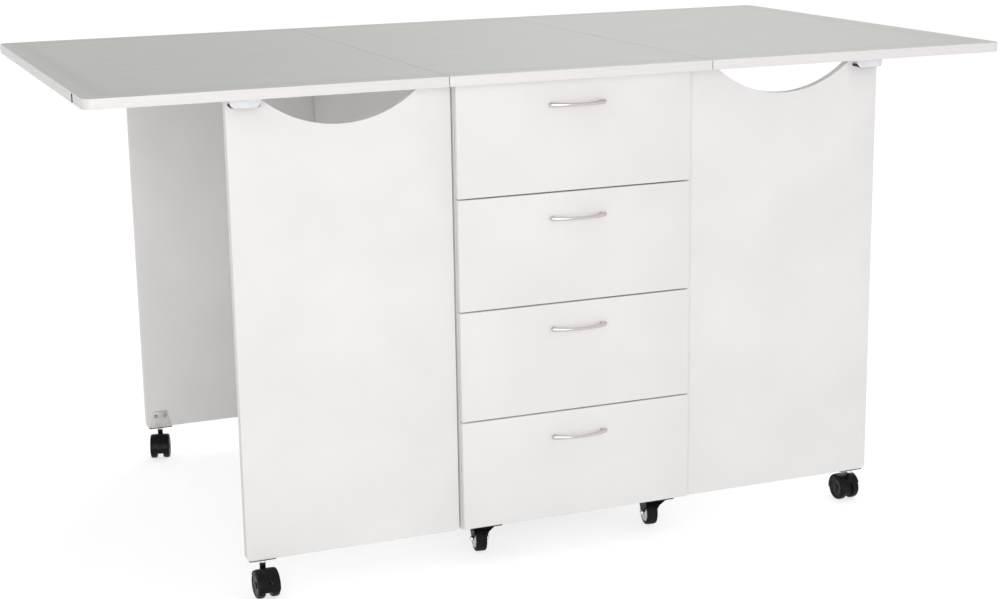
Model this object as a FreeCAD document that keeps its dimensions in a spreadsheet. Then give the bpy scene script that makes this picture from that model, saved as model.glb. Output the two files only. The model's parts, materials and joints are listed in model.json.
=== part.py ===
import FreeCAD, Part
import os
import re
from itertools import product

import Sketcher
from FreeCAD import Rotation, Vector

# A folding table for sewing and cutting: a narrow cabinet of four drawers on four plate castors, a fixed
# middle top, two leaves hinged to it, and four gates that swing out of the cabinet's corners, each on a
# castor of its own, to carry the leaves.
#
# Millimetres, +Z up. X runs along the opened table and the drawers face -Y. The origin is on the floor,
# under the middle of the top.
#
# The sheet holds the driving sizes. A formula is a text over their names and those of FORMULAS, and
# every size and place of a piece is bound to such a formula.

SIZES = {
    # the opened top
    "table_width": 1778,
    "table_depth": 1008,
    "table_height": 921,
    "top_thickness": 18,
    "centre_top_width": 512,
    "seam_gap": 1.5,
    "leaf_corner_radius": 20,
    # the cabinet
    "side_overhang": 24,  # of the middle top over the cabinet's side
    "cabinet_setback": 55,  # from the top's front edge to the cabinet's, and the same at the back
    "floor_clearance": 67.5,
    "board": 16,
    "rail_width": 80,
    "shelf_play": 1,
    "shelf_setback": 4,
    "shelf_pin_radius": 2.5,
    "shelf_pin_reach": 8,  # into the side, and again under the shelf
    "shelf_pin_inset": 40,
    "fit": 0.1,  # a pin in its hole
    "past": 1,  # how far a cutter runs beyond the face that it opens
    # the drawers
    "front_thickness": 16,
    "front_rise": 4.5,  # the lowest front's lower edge, above the cabinet's
    "front_gap": 2.5,
    "front_reveal": 0.5,
    "top_reveal": 2,
    "front_air": 0.5,
    "box_rise": 18,
    "box_height": 140,
    "box_board": 12,
    "box_bottom": 4,
    "box_bottom_rise": 8,
    "groove_depth": 6,
    "box_back_gap": 21.5,
    "runner_gap": 12.5,
    "runner_rise": 24,
    "runner_height": 27,
    "runner_depth": 10,
    "runner_sheet": 1.2,
    "runner_play": 0.3,
    "runner_setback": 3,
    # the drawer handles
    "handle_centres": 96,
    "handle_length": 113,
    "handle_projection": 26,
    "handle_bow": 18,
    "handle_drop": 46,
    "handle_waist": 6,
    "handle_end": 10,
    "handle_thickness": 5,
    "handle_foot_radius": 5,
    "handle_screw_radius": 2,
    "handle_screw_bite": 7,
    "handle_screw_head_radius": 4,
    "handle_screw_head": 2,
    # the gates
    "gate_width": 406,
    "gate_thickness": 18,
    "gate_gap": 4,  # from the cabinet's side to the gate's near edge
    "gate_air": 0.5,  # over the gate, under the leaf hinges
    "gate_corner_radius": 8,
    "arch_radius": 216,
    "arch_depth": 52,
    "upper_hinge_drop": 78,
    "lower_hinge_rise": 115,
    "gate_hinge_length": 58,
    "gate_hinge_width": 22,
    "gate_knuckle_radius": 2.6,
    # the leaf hinges and stops
    "leaf_hinge_length": 60,
    "leaf_hinge_width": 24,
    "leaf_hinge_inset": 144,
    "leaf_knuckle_radius": 3,
    "hinge_sheet": 1.5,
    "hinge_screw_reach": 0.62,  # from the pin, as a share of the plate's width
    "hinge_screw_spread": 0.3,  # from the plate's middle, as a share of its length
    "hinge_pin_radius": 1.2,
    "hinge_play": 0.3,
    "stop_length": 56,
    "stop_lip": 24,
    "stop_height": 18,
    "stop_overlap": 20,  # the pad over the gate's top edge
    "stop_inset": 2,  # from the leaf stop's end to the gate's outer edge
    "rest_gap": 0.3,
    # screws
    "screw_radius": 1.7,
    "screw_bite": 11,
    "screw_head_radius": 3.2,
    "screw_head": 1.4,
    "screw_play": 0.05,
    # the gates' castors and their brackets
    "bracket_inset": 5,
    "bracket_width": 50,
    "bracket_foot_width": 46,
    "bracket_front_inset": 2,
    "bracket_top_width": 32,
    "bracket_height": 36,
    "bracket_sheet": 2.5,
    "bracket_screw_drop": 10,
    "bracket_screw_spacing": 20,
    "stem_radius": 4,
    "stem_bite": 9,
    "nut_radius": 7.5,
    "nut_height": 5,
    "neck_radius": 5.5,
    "neck_gap": 1,  # under the nut
    "stem_depth": 27,  # of the stem below the bracket
    "neck_floor": 3,
    "castor_trail": 17,
    "wheel_radius": 25,
    "twin_wheel_width": 15,
    "twin_wheel_gap": 12,
    "twin_wheel_easing": 1.5,
    "twin_wheel_bevel": 3,
    "twin_wheel_rim": 7,
    "twin_wheel_dish": 2,
    "hub_radius": 6,
    "hub_bevel": 1,
    "axle_radius": 2.5,
    "axle_play": 0.08,
    "hood_sheet": 2.4,
    "hood_play": 0.6,
    "hood_notch": 19,  # from the floor to the hood's lower edge
    "hood_reveal": 1,
    "web_play": 0.4,
    # the cabinet's castors
    "plate_inset": 6,  # from the cabinet's side panel to the castor plate
    "plate_front_inset": 0.5,
    "plate_size": 60,
    "plate_sheet": 4,
    "plate_screw_inset": 9,
    "race_radius": 17,
    "race_height": 3,
    "kingpin_radius": 5,
    "kingpin_head": 1.5,
    "kingpin_head_radius": 7.5,
    "fork_trail": 22,
    "fork_sheet": 2.5,
    "fork_gap": 1.2,  # between the wheel and each leg
    "fork_lug_radius": 9,
    "fork_lug_flat": 5.4,
    "fork_shoulder": 3,
    "plate_wheel_width": 21,
    "core_radius": 18,
    "tyre_easing": 3,
    "bolt_radius": 3,
    "bolt_head_radius": 5.5,
    "bolt_head": 3,
    "pedal_length": 26,
    "pedal_width": 18,
    "pedal_sheet": 2.5,
    "pedal_pin_radius": 1.8,
    "pedal_boss": 1.5,
    "pedal_air": 1,  # between the arm and the pin's middle plane
    "pedal_overhang": 16,  # of the tread from the pin
    "pedal_tread_depth": 6,
    "pedal_pin_reveal": 0.5,
    "pedal_lug": 4.5,  # of the fork's legs round the pin
}
DRAWERS = 4
SHELVES = 2
HINGES_PER_LEAF = 3

FORMULAS = {
    # planes of the top and the cabinet; those without _z are distances from the middle
    "half_depth": "table_depth / 2",
    "underside_z": "table_height - top_thickness",
    "seam": "centre_top_width / 2",
    "side_face": "seam - side_overhang",
    "inside": "side_face - board",
    "carcass_face": "half_depth - cabinet_setback",
    "floor_panel_z": "floor_clearance + board",
    "rail_z": "underside_z - board",
    # drawers
    "fronts_top_z": "underside_z - top_reveal",
    "fronts_base_z": "floor_clearance + front_rise",
    "front_back_face": "carcass_face + front_air",
    "front_face": "front_back_face + front_thickness",
    "front_height": f"(fronts_top_z - fronts_base_z - {DRAWERS - 1} * front_gap) / {DRAWERS}",
    "box_half": "inside - runner_gap",
    "box_inside": "box_half - box_board",
    "box_back": "board / 2 + box_back_gap",
    # a handle's bar: its outer face, and the circles that bow it and that narrow its waist
    "handle_outer_y": "-(front_face + handle_projection)",
    "half_chord": "handle_length / 2",
    "bow_radius": "(half_chord * half_chord + handle_bow * handle_bow) / (2 * handle_bow)",
    "bow_inner_radius": "bow_radius - handle_thickness",
    "foot_x": "handle_centres / 2 - handle_foot_radius / 2",
    "foot_rise": "bow_inner_radius - sqrt(bow_inner_radius * bow_inner_radius - foot_x * foot_x)",
    "handle_foot_y": "handle_outer_y + handle_thickness + foot_rise - fit",
    "flare": "(handle_end - handle_waist) / 2",
    "flare_radius": "(half_chord * half_chord + flare * flare) / (2 * flare)",
    "waist_rise": "handle_waist / 2 + flare_radius",
    # gates
    "gate_near_edge": "side_face + gate_gap",
    "gate_far_edge": "gate_near_edge + gate_width",
    "gate_inner_face": "carcass_face - gate_thickness",
    "gate_top_z": "underside_z - 2 * leaf_knuckle_radius - gate_air",
    "gate_axis_x": "side_face + gate_knuckle_radius",
    "gate_axis_y": "gate_inner_face - gate_knuckle_radius",
    "upper_hinge_z": "gate_top_z - upper_hinge_drop",
    "lower_hinge_z": "floor_clearance + lower_hinge_rise",
    # leaf hinges
    "leaf_axis_x": "seam + seam_gap / 2",
    "leaf_axis_z": "underside_z - leaf_knuckle_radius",
    "leaf_hinge_y": "half_depth - leaf_hinge_inset",
    # gate castors
    "stem_x": "gate_far_edge - bracket_inset - bracket_width / 2",
    "stem_y": "gate_inner_face + gate_thickness / 2",
    "bracket_base_z": "floor_clearance - bracket_sheet",
    "nut_base_z": "bracket_base_z - nut_height",
    "stem_base_z": "bracket_base_z - stem_depth",
    "neck_base_z": "stem_base_z - neck_floor",
    "hood_radius": "wheel_radius + hood_play + hood_sheet",
    "twin_half": "twin_wheel_gap / 2 + twin_wheel_width",
    # cabinet castors
    "plate_x": "inside - plate_inset - plate_size / 2",
    "plate_y": "carcass_face - plate_front_inset - plate_size / 2",
    "plate_base_z": "floor_clearance - plate_sheet",
    "race_base_z": "plate_base_z - race_height",
    "fork_top_z": "race_base_z - rest_gap",
    "kingpin_base_z": "fork_top_z - fork_sheet - rest_gap - kingpin_head",
    "fork_inside": "plate_wheel_width / 2 + fork_gap",
    "fork_outside": "fork_inside + fork_sheet",
    "pedal_z": "2 * wheel_radius + 2 * pedal_sheet",
    "pedal_x": "fork_trail + wheel_radius / 2",
}

LEFT, RIGHT = -1, 1
FRONT, BACK = -1, 1
SIDES = {"left": LEFT, "right": RIGHT}
ENDS = {"front": FRONT, "back": BACK}
# the way each castor trails from its swivel, in degrees from +X
GATE_CASTOR_HEADINGS = {
    ("front", "left"): -88,
    ("front", "right"): 92,
    ("back", "left"): -106,
    ("back", "right"): 80,
}
CABINET_CASTOR_HEADINGS = {
    ("front", "left"): 82,
    ("front", "right"): 84,
    ("back", "left"): 96,
    ("back", "right"): 75,
}

doc = FreeCAD.newDocument("cutting_table")
sheet = doc.addObject("Spreadsheet::Sheet", "sizes")
nodes = []


def fill_sheet():
    for row, (name, value) in enumerate(SIZES.items(), start=1):
        sheet.set(f"A{row}", name)
        sheet.set(f"B{row}", str(value))
        sheet.setAlias(f"B{row}", name)
    doc.recompute()


def expand(formula):
    """The formula with each name replaced by its cell or by the formula that it stands for."""

    def replace(match):
        word = match.group()
        if word in FORMULAS:
            return f"({expand(FORMULAS[word])})"
        return f"sizes.{word}" if word in SIZES else word

    return re.sub(r"[a-z_]+", replace, str(formula))


def number(formula):
    return float(sheet.evalExpression(expand(formula)))


def span(sign, near, far):
    """From the near to the far distance on one side of the middle, as (lower, upper) formulas."""
    return (near, far) if sign > 0 else (f"-({far})", f"-({near})")


def both_ways(half):
    return f"-({half})", half


# Pieces


def stand(piece, x=0, y=0, z=0, rotation=None):
    """Give a piece its place, and its turn if it has one."""
    if rotation:
        piece.Placement.Rotation = rotation
    for axis, formula in zip("xyz", (x, y, z)):
        piece.setExpression(f"Placement.Base.{axis}", expand(formula))
    return piece


def slab(name, x, y, z):
    """A block between two planes each way."""
    box = doc.addObject("Part::Box", name)
    for size, (low, high) in zip(("Length", "Width", "Height"), (x, y, z)):
        box.setExpression(size, expand(f"({high}) - ({low})"))
    return stand(box, x[0], y[0], z[0])


ALONG = {
    "x": Rotation(Vector(0, 1, 0), 90),
    "y": Rotation(Vector(1, 0, 0), -90),
    "z": Rotation(),
}


def rod(name, axis, ends, across, radius):
    """A cylinder along one axis between two planes; across holds its other two coordinates, in order."""
    cylinder = doc.addObject("Part::Cylinder", name)
    cylinder.setExpression("Radius", expand(radius))
    cylinder.setExpression("Height", expand(f"({ends[1]}) - ({ends[0]})"))
    centre = list(across)
    centre.insert("xyz".index(axis), ends[0])
    return stand(cylinder, *centre, rotation=ALONG[axis])


def group(pieces, name="group"):
    compound = doc.addObject("Part::Compound", name)
    compound.Links = list(pieces)
    return compound


def fuse(name, *pieces):
    joined = doc.addObject("Part::MultiFuse", name)
    joined.Shapes = list(pieces)
    joined.Refine = True
    return joined


def cut(name, base, *tools):
    difference = doc.addObject("Part::Cut", name)
    difference.Base = base
    difference.Tool = tools[0] if len(tools) == 1 else group(tools, f"{name}_cutters")
    return difference


def node(label, *pieces):
    """One named sub-part: a piece, or several separate ones of the same kind."""
    part = pieces[0] if len(pieces) == 1 else group(pieces, label)
    part.Label = label
    nodes.append(part)
    return part


def origin_feature(body, role):
    return next(f for f in body.Origin.OriginFeatures if f.Role == role)


def sketch(body, name, plane):
    drawing = body.newObject("Sketcher::SketchObject", name)
    drawing.AttachmentSupport = [(origin_feature(body, plane), "")]
    drawing.MapMode = "FlatFace"
    return drawing


def fix_point(drawing, curve, point, x, y):
    """Hold a curve's point at two formulas from the sketch's origin."""
    for kind, formula in (("DistanceX", x), ("DistanceY", y)):
        constraint = Sketcher.Constraint(kind, -1, 1, curve, point, number(formula))
        index = drawing.addConstraint(constraint)
        drawing.setExpression(f"Constraints[{index}]", expand(formula))


def draw_polygon(drawing, corners):
    places = [Vector(number(x), number(y), 0) for x, y in corners]
    lines = len(corners)
    for i in range(lines):
        drawing.addGeometry(Part.LineSegment(places[i], places[(i + 1) % lines]), False)
    for i in range(lines):
        drawing.addConstraint(Sketcher.Constraint("Coincident", i, 2, (i + 1) % lines, 1))
    for i, (x, y) in enumerate(corners):
        fix_point(drawing, i, 1, x, y)


def draw_circle(drawing, x, y, radius):
    circle = Part.Circle(Vector(number(x), number(y), 0), Vector(0, 0, 1), number(radius))
    index = drawing.addGeometry(circle, False)
    fix_point(drawing, index, 3, x, y)
    constraint = drawing.addConstraint(Sketcher.Constraint("Radius", index, number(radius)))
    drawing.setExpression(f"Constraints[{constraint}]", expand(radius))


def padded_body(name, plane, corners, length):
    """A body padded from a polygon. XZ_Plane pads towards -Y, YZ_Plane towards +X, XY_Plane up."""
    body = doc.addObject("PartDesign::Body", name)
    drawing = sketch(body, f"{name}_outline", plane)
    draw_polygon(drawing, corners)
    pad = body.newObject("PartDesign::Pad", f"{name}_pad")
    pad.Profile = drawing
    pad.setExpression("Length", expand(length))
    doc.recompute()
    return body


def round_edges(body, radius, axis, wanted):
    """Round the straight edges of the body's tip that run along an axis where wanted is true."""
    tip = body.Tip
    edges = []
    for index, edge in enumerate(tip.Shape.Edges, start=1):
        ends = [vertex.Point for vertex in edge.Vertexes]
        run = ends[-1] - ends[0]
        if run.Length > 0 and abs(run * axis) > 0.999 * run.Length and wanted(ends[0]):
            edges.append(f"Edge{index}")
    fillet = body.newObject("PartDesign::Fillet", f"{body.Name}_rounding")
    fillet.Base = (tip, edges)
    fillet.setExpression("Radius", expand(radius))
    doc.recompute()


def rectangle(x, y):
    return [(x[0], y[0]), (x[1], y[0]), (x[1], y[1]), (x[0], y[1])]


# Screws. Each stands with its head on the plane z = 0 and its shank below it.


def screw(name, head_up):
    """A screw: its head stands on the surface where head_up, or else lies sunk flush with it."""
    head = ("0", "screw_head") if head_up else ("-screw_head", "0")
    return fuse(
        name,
        rod("head", "z", head, (0, 0), "screw_head_radius"),
        rod("shank", "z", ("-screw_bite", "0"), (0, 0), "screw_radius"),
    )


def standing_screw():
    return screw("standing_screw", True)


def pilot(depth="screw_bite + screw_play"):
    return group([rod("drill", "z", (f"-({depth})", "0"), (0, 0), "screw_radius + screw_play")], "pilot")


# Hinge halves, in a frame of their own: the pin along Z, the plate out along +X, its back on the plane
# y = knuckle radius, and screws that go in along +Y.

INTO_BOARD = Rotation(Vector(1, 0, 0), 90)


def hinge_screw_spots(length, width):
    reach = f"hinge_screw_reach * {width}"
    return [(reach, f"{sign} * hinge_screw_spread * {length}") for sign in (-1, 1)]


def hinge_half(name, length, width, radius, inner_knuckle):
    """A hinge plate with one middle knuckle or the two outer ones. The middle one holds the pin."""
    third, half = f"{length} / 6", f"{length} / 2"
    middle = both_ways(third)
    outer = [(f"-({half})", f"-({third}) - hinge_play"), (f"{third} + hinge_play", half)]
    own = [middle] if inner_knuckle else outer
    other = outer if inner_knuckle else [(f"-({third}) - hinge_play", f"{third} + hinge_play")]
    face = f"{radius} - hinge_sheet"
    plate = slab("plate", ("0", width), (face, radius), both_ways(half))
    knuckles = [rod("knuckle", "z", ends, (0, 0), radius) for ends in own]
    room_x = (f"-({radius})", f"{radius} + hinge_play")
    room_y = (f"-({radius})", f"{radius} + past")
    room = [slab("room", room_x, room_y, ends) for ends in other]
    bore = rod("bore", "z", both_ways(f"{half} + past"), (0, 0), "hinge_pin_radius + screw_play")
    through = (f"{face} - past", f"{radius} + past")
    holes = [
        rod("hole", "y", through, spot, "screw_head_radius + screw_play")
        for spot in hinge_screw_spots(length, width)
    ]
    leaf = cut(name, fuse("blank", cut("notched", plate, *room), *knuckles), bore, *holes)
    screws = [
        stand(screw("hinge_screw", False), x, f"{face} + screw_play", z, INTO_BOARD)
        for x, z in hinge_screw_spots(length, width)
    ]
    pins = [rod("pin", "z", both_ways(half), (0, 0), "hinge_pin_radius")] if inner_knuckle else []
    return group([leaf, *screws, *pins], f"{name}_set")


def hinge_pilots(length, width, radius):
    holes = [
        stand(pilot("screw_bite - hinge_sheet + past"), x, radius, z, INTO_BOARD)
        for x, z in hinge_screw_spots(length, width)
    ]
    return group(holes, "hinge_pilots")


def facing(plate_way, board_way):
    """The turn that takes a hinge half's plate along one direction and its screws along another."""
    plate, board = Vector(*plate_way), Vector(*board_way)
    return Rotation(plate, board, plate.cross(board), "XYZ")


# The top


def leaf_hinge_spots():
    return [f"leaf_hinge_y * {2 * i / (HINGES_PER_LEAF - 1) - 1}" for i in range(HINGES_PER_LEAF)]


def leaf_hinge_halves(side, fixed):
    """One side's hinge halves under the seam: the fixed ones reach inwards, the others outwards."""
    way = (-side, 0, 0) if fixed else (side, 0, 0)
    sizes = ("leaf_hinge_length", "leaf_hinge_width", "leaf_knuckle_radius")
    turn = facing(way, (0, 0, 1))
    halves, pilots = [], []
    for y in leaf_hinge_spots():
        place = (f"{side} * leaf_axis_x", y, "leaf_axis_z")
        halves.append(stand(hinge_half("leaf_hinge", *sizes, fixed), *place, turn))
        pilots.append(stand(hinge_pilots(*sizes), *place, turn))
    return halves, pilots


def centre_top_nodes():
    panel = slab("panel", both_ways("seam"), both_ways("half_depth"), ("underside_z", "table_height"))
    halves, pilots = [], []
    for side in SIDES.values():
        these_halves, these_pilots = leaf_hinge_halves(side, True)
        halves += these_halves
        pilots += these_pilots
    node("centre_top", cut("centre_top", panel, *pilots))
    node("leaf_hinges_fixed", *halves)


def leaf_stop(side, end):
    """A lip in front of the gate, round below, and a pad over the gate's top edge, in one moulding."""
    x = span(side, "gate_far_edge - stop_inset - stop_length", "gate_far_edge - stop_inset")
    lip_y = span(end, "carcass_face + rest_gap", "carcass_face + rest_gap + stop_lip")
    pad_y = span(end, "carcass_face - stop_overlap", "carcass_face + rest_gap + past")
    below = ("underside_z - stop_height", "underside_z")
    bow_radius = "(stop_length * stop_length / 4 + stop_height * stop_height) / (2 * stop_height)"
    centre = (f"{side} * (gate_far_edge - stop_inset - stop_length / 2)", f"{below[0]} + {bow_radius}")
    lip = doc.addObject("Part::Common", "lip")
    lip.Base = slab("lip_block", x, lip_y, below)
    lip.Tool = rod("lip_bow", "y", lip_y, centre, bow_radius)
    pad = slab("pad", x, pad_y, ("gate_top_z + rest_gap", "underside_z"))
    return fuse("leaf_stop", lip, pad)


def leaf_nodes(name, side):
    x = span(side, "seam + seam_gap", "table_width / 2")
    outline = rectangle(x, both_ways("half_depth"))
    body = padded_body(f"leaf_{name}_board", "XY_Plane", outline, "top_thickness")
    outer = number("table_width / 2")
    upright = Vector(0, 0, 1)
    round_edges(body, "leaf_corner_radius", upright, lambda end: abs(abs(end.x) - outer) < 1e-6)
    stand(body, z="underside_z")
    halves, pilots = leaf_hinge_halves(side, False)
    node(f"leaf_{name}", cut(f"leaf_{name}", body, *pilots))
    node(f"leaf_hinges_{name}", *halves)
    node(f"leaf_stops_{name}", *[leaf_stop(side, end) for end in ENDS.values()])


# The cabinet


def shelf_base(index):
    """The underside of a shelf. The shelves share the bay's height evenly."""
    return f"floor_panel_z + (rail_z - floor_panel_z) * {(index + 1) / (SHELVES + 1)}"


def shelf_pin_rods(side, radius, play):
    """The pins that reach from one side panel under the shelves, or with some play their holes."""
    x = span(side, "inside - shelf_pin_reach", f"inside + shelf_pin_reach + {play}")
    depths = ("board / 2 + shelf_pin_inset", "carcass_face - shelf_pin_inset")
    heights = [f"{shelf_base(index)} - shelf_pin_radius - fit" for index in range(SHELVES)]
    return [rod("shelf_pin", "x", x, (y, z), radius) for z in heights for y in depths]


def cabinet_nodes():
    depth = both_ways("carcass_face")
    between = both_ways("inside")
    for name, side in SIDES.items():
        width = span(side, "inside", "side_face")
        panel = slab("side", width, depth, ("floor_clearance", "underside_z"))
        holes = shelf_pin_rods(side, "shelf_pin_radius + fit", "fit")
        hinge_holes = [turn_to(end, gate_hinges(side * -end, True)[1]) for end in ENDS.values()]
        node(f"side_{name}", cut(f"side_{name}", panel, *holes, *hinge_holes))
    floor_panel = slab("floor", between, depth, ("floor_clearance", "floor_panel_z"))
    node("bottom_panel", cut("bottom_panel", floor_panel, *castor_plate_pieces()[1]))
    divider_y = both_ways("board / 2")
    node("divider_panel", slab("divider_panel", between, divider_y, ("floor_panel_z", "underside_z")))
    rail_depths = [span(end, "carcass_face - rail_width", "carcass_face") for end in ENDS.values()]
    node("top_rails", *[slab("rail", between, y, ("rail_z", "underside_z")) for y in rail_depths])
    shelf_x = both_ways("inside - shelf_play")
    shelf_y = ("board / 2 + shelf_play", "carcass_face - shelf_setback")
    bases = [shelf_base(index) for index in range(SHELVES)]
    node("shelves", *[slab("shelf", shelf_x, shelf_y, (base, f"{base} + board")) for base in bases])
    pins = [pin for side in SIDES.values() for pin in shelf_pin_rods(side, "shelf_pin_radius", "0")]
    node("shelf_pins", *pins)


# The drawers, row 0 uppermost


def row_base(row):
    return f"fronts_top_z - {row + 1} * front_height - {row} * front_gap"


def runner_z(row):
    return f"{row_base(row)} + box_rise + runner_rise"


def channel(name, side, web, flange_tip, z, height, y):
    """A rolled channel: a web standing at one distance from the middle, and a flange at each edge."""
    half = f"({height}) / 2"
    web_span = span(side, *web)
    flange = span(side, *flange_tip)
    z_low, z_high = f"{z} - {half}", f"{z} + {half}"
    return fuse(
        name,
        slab("web", web_span, y, (z_low, z_high)),
        slab("lower_flange", flange, y, (z_low, f"{z_low} + runner_sheet")),
        slab("upper_flange", flange, y, (f"{z_high} - runner_sheet", z_high)),
    )


def runner_tracks():
    """The channels on the cabinet's sides, one to the left and one to the right of each drawer."""
    y = ("runner_setback - carcass_face", "-(box_back)")
    web = ("inside - runner_sheet", "inside")
    flange = ("inside - runner_depth", "inside")
    return [
        channel("runner_track", side, web, flange, runner_z(row), "runner_height", y)
        for row in range(DRAWERS)
        for side in SIDES.values()
    ]


def drawer_box(row):
    """Two sides, a back, a bottom let into their grooves, and the runners' inner channels."""
    base = f"{row_base(row)} + box_rise"
    top = f"{base} + box_height"
    y = ("-(front_back_face)", "-(box_back)")
    groove = (f"{base} + box_bottom_rise", f"{base} + box_bottom_rise + box_bottom")
    slot = (f"{groove[0]} - fit", f"{groove[1]} + fit")
    pieces = []
    for side in SIDES.values():
        board = slab("box_side", span(side, "box_inside", "box_half"), y, (base, top))
        room_x = span(side, "box_inside - past", "box_inside + groove_depth")
        room_y = (f"{y[0]} - past", f"{y[1]} + past")
        pieces.append(cut("grooved_side", board, slab("groove", room_x, room_y, slot)))
    back_y = ("-(box_back + box_board)", "-(box_back)")
    pieces.append(slab("box_back", both_ways("box_inside"), back_y, (slot[1], top)))
    bottom_x = both_ways("box_inside + groove_depth - fit")
    bottom_y = ("-(front_back_face + groove_depth - fit)", "-(box_back)")
    pieces.append(slab("box_bottom", bottom_x, bottom_y, groove))
    height = "runner_height - 2 * runner_sheet - 2 * runner_play"
    web = ("box_half", "box_half + runner_sheet")
    flange = ("box_half", "inside - runner_sheet - 2 * runner_play")
    runner_y = ("runner_setback - carcass_face", y[1])
    for side in SIDES.values():
        pieces.append(channel("runner", side, web, flange, runner_z(row), height, runner_y))
    return pieces


def handle_spot(row):
    return f"{row_base(row)} + front_height - handle_drop"


def drawer_front(row):
    """The front board, with the bottom's groove in its back and two holes for the handle's screws."""
    base = row_base(row)
    x = both_ways("side_face - front_reveal")
    y = ("-(front_face)", "-(front_back_face)")
    board = slab("front", x, y, (base, f"{base} + front_height"))
    groove_z = f"{base} + box_rise + box_bottom_rise"
    groove = slab(
        "front_groove",
        both_ways("box_inside + groove_depth"),
        ("-(front_back_face + groove_depth)", "past - (front_back_face)"),
        (f"{groove_z} - fit", f"{groove_z} + box_bottom + fit"),
    )
    through = ("-(front_face) - past", "past - (front_back_face)")
    spots = [(f"{side} * handle_centres / 2", handle_spot(row)) for side in SIDES.values()]
    holes = [rod("handle_hole", "y", through, spot, "handle_screw_radius + fit") for spot in spots]
    return cut(f"drawer_front_{row + 1}", board, groove, *holes)


def handle(row):
    """A bar bowed outwards and flared to its ends, its two feet, and the screws through the front."""
    z = handle_spot(row)
    bar_z = (f"{z} - handle_end / 2", f"{z} + handle_end / 2")
    hollow_z = (f"{bar_z[0]} - past", f"{bar_z[1]} + past")
    bow_centre = ("0", "handle_outer_y + bow_radius")
    disc = rod("disc", "z", bar_z, bow_centre, "bow_radius")
    hollow = rod("hollow", "z", hollow_z, bow_centre, "bow_inner_radius")
    bar = doc.addObject("Part::Common", "bar")
    bar.Base = cut("ring", disc, hollow)
    bar.Tool = slab("reach", both_ways("half_chord"), ("handle_outer_y", "-(front_face)"), bar_z)
    waist_y = ("handle_outer_y - past", "-(front_face)")
    waists = [
        rod("waist", "y", waist_y, ("0", f"{z} + {way} * waist_rise"), "flare_radius") for way in (-1, 1)
    ]
    feet, screws, bores = [], [], []
    for side in SIDES.values():
        across = (f"{side} * handle_centres / 2", z)
        bite = ("-(front_face) - handle_screw_bite", "-(front_back_face)")
        head = ("-(front_back_face)", "handle_screw_head - (front_back_face)")
        bore = (f"{bite[0]} - fit", "past - (front_face)")
        feet.append(rod("foot", "y", ("handle_foot_y", "-(front_face)"), across, "handle_foot_radius"))
        bores.append(rod("bore", "y", bore, across, "handle_screw_radius + fit"))
        shank = rod("shank", "y", bite, across, "handle_screw_radius")
        button = rod("button", "y", head, across, "handle_screw_head_radius")
        screws.append(fuse("handle_screw", shank, button))
    blank = fuse("handle_blank", cut("flared_bar", bar, *waists), *feet)
    return [cut("handle", blank, *bores), *screws]


def drawer_nodes():
    node("runner_tracks", *runner_tracks())
    for row in range(DRAWERS):
        node(f"drawer_front_{row + 1}", drawer_front(row))
        node(f"drawer_box_{row + 1}", *drawer_box(row))
        node(f"handle_{row + 1}", *handle(row))


# The gates. Each is built at the front, on the side that gives its sign, and the back ones are turned
# half a turn about the table's middle.


def turn_to(end, piece):
    if end == BACK:
        piece.Placement.Rotation = Rotation(Vector(0, 0, 1), 180)
    return piece


def gate_hinges(sign, fixed):
    """The two hinge halves on the cabinet or on the gate, with their pilot holes, each as one group."""
    sizes = ("gate_hinge_length", "gate_hinge_width", "gate_knuckle_radius")
    turn = facing((0, 1, 0), (-sign, 0, 0)) if fixed else facing((sign, 0, 0), (0, -1, 0))
    halves, pilots = [], []
    for z in ("upper_hinge_z", "lower_hinge_z"):
        place = (f"{sign} * gate_axis_x", "-(gate_axis_y)", z)
        halves.append(stand(hinge_half("gate_hinge", *sizes, fixed), *place, turn))
        pilots.append(stand(hinge_pilots(*sizes), *place, turn))
    return group(halves, "gate_hinges"), group(pilots, "gate_hinge_pilots")


def bracket_screws(sign, make):
    """The bracket's screws, or their pilots: they go in from the gate's inner face."""
    z = "floor_clearance + bracket_height - bracket_screw_drop"
    y = "bracket_sheet - (gate_inner_face)"
    into_gate = Rotation(Vector(1, 0, 0), -90)
    return [
        stand(make(), f"{sign} * stem_x + {way} * bracket_screw_spacing / 2", y, z, into_gate)
        for way in (-1, 1)
    ]


def gate_panel(name, sign):
    """A board with a half-moon cut from its upper edge and its lower corners eased."""
    x = span(sign, "gate_near_edge", "gate_far_edge")
    outline = rectangle(x, ("floor_clearance", "gate_top_z"))
    body = padded_body(f"{name}_board", "XZ_Plane", outline, "gate_thickness")
    arch = sketch(body, f"{name}_arch", "XZ_Plane")
    arch_x = f"{sign} * (gate_near_edge + gate_width / 2)"
    draw_circle(arch, arch_x, "gate_top_z - arch_depth + arch_radius", "arch_radius")
    pocket = body.newObject("PartDesign::Pocket", f"{name}_arch_cut")
    pocket.Profile = arch
    pocket.Type = "ThroughAll"
    pocket.Midplane = True
    doc.recompute()
    base = number("floor_clearance")
    inwards = Vector(0, 1, 0)
    round_edges(body, "gate_corner_radius", inwards, lambda end: abs(end.z - base) < 1e-6)
    stand(body, y="-(gate_inner_face)")
    stem = ("floor_clearance - past", "floor_clearance + stem_bite")
    bore = rod("stem_bore", "z", stem, (f"{sign} * stem_x", "-(stem_y)"), "stem_radius + fit")
    return cut(name, body, bore, gate_hinges(sign, False)[1], *bracket_screws(sign, pilot))


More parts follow.
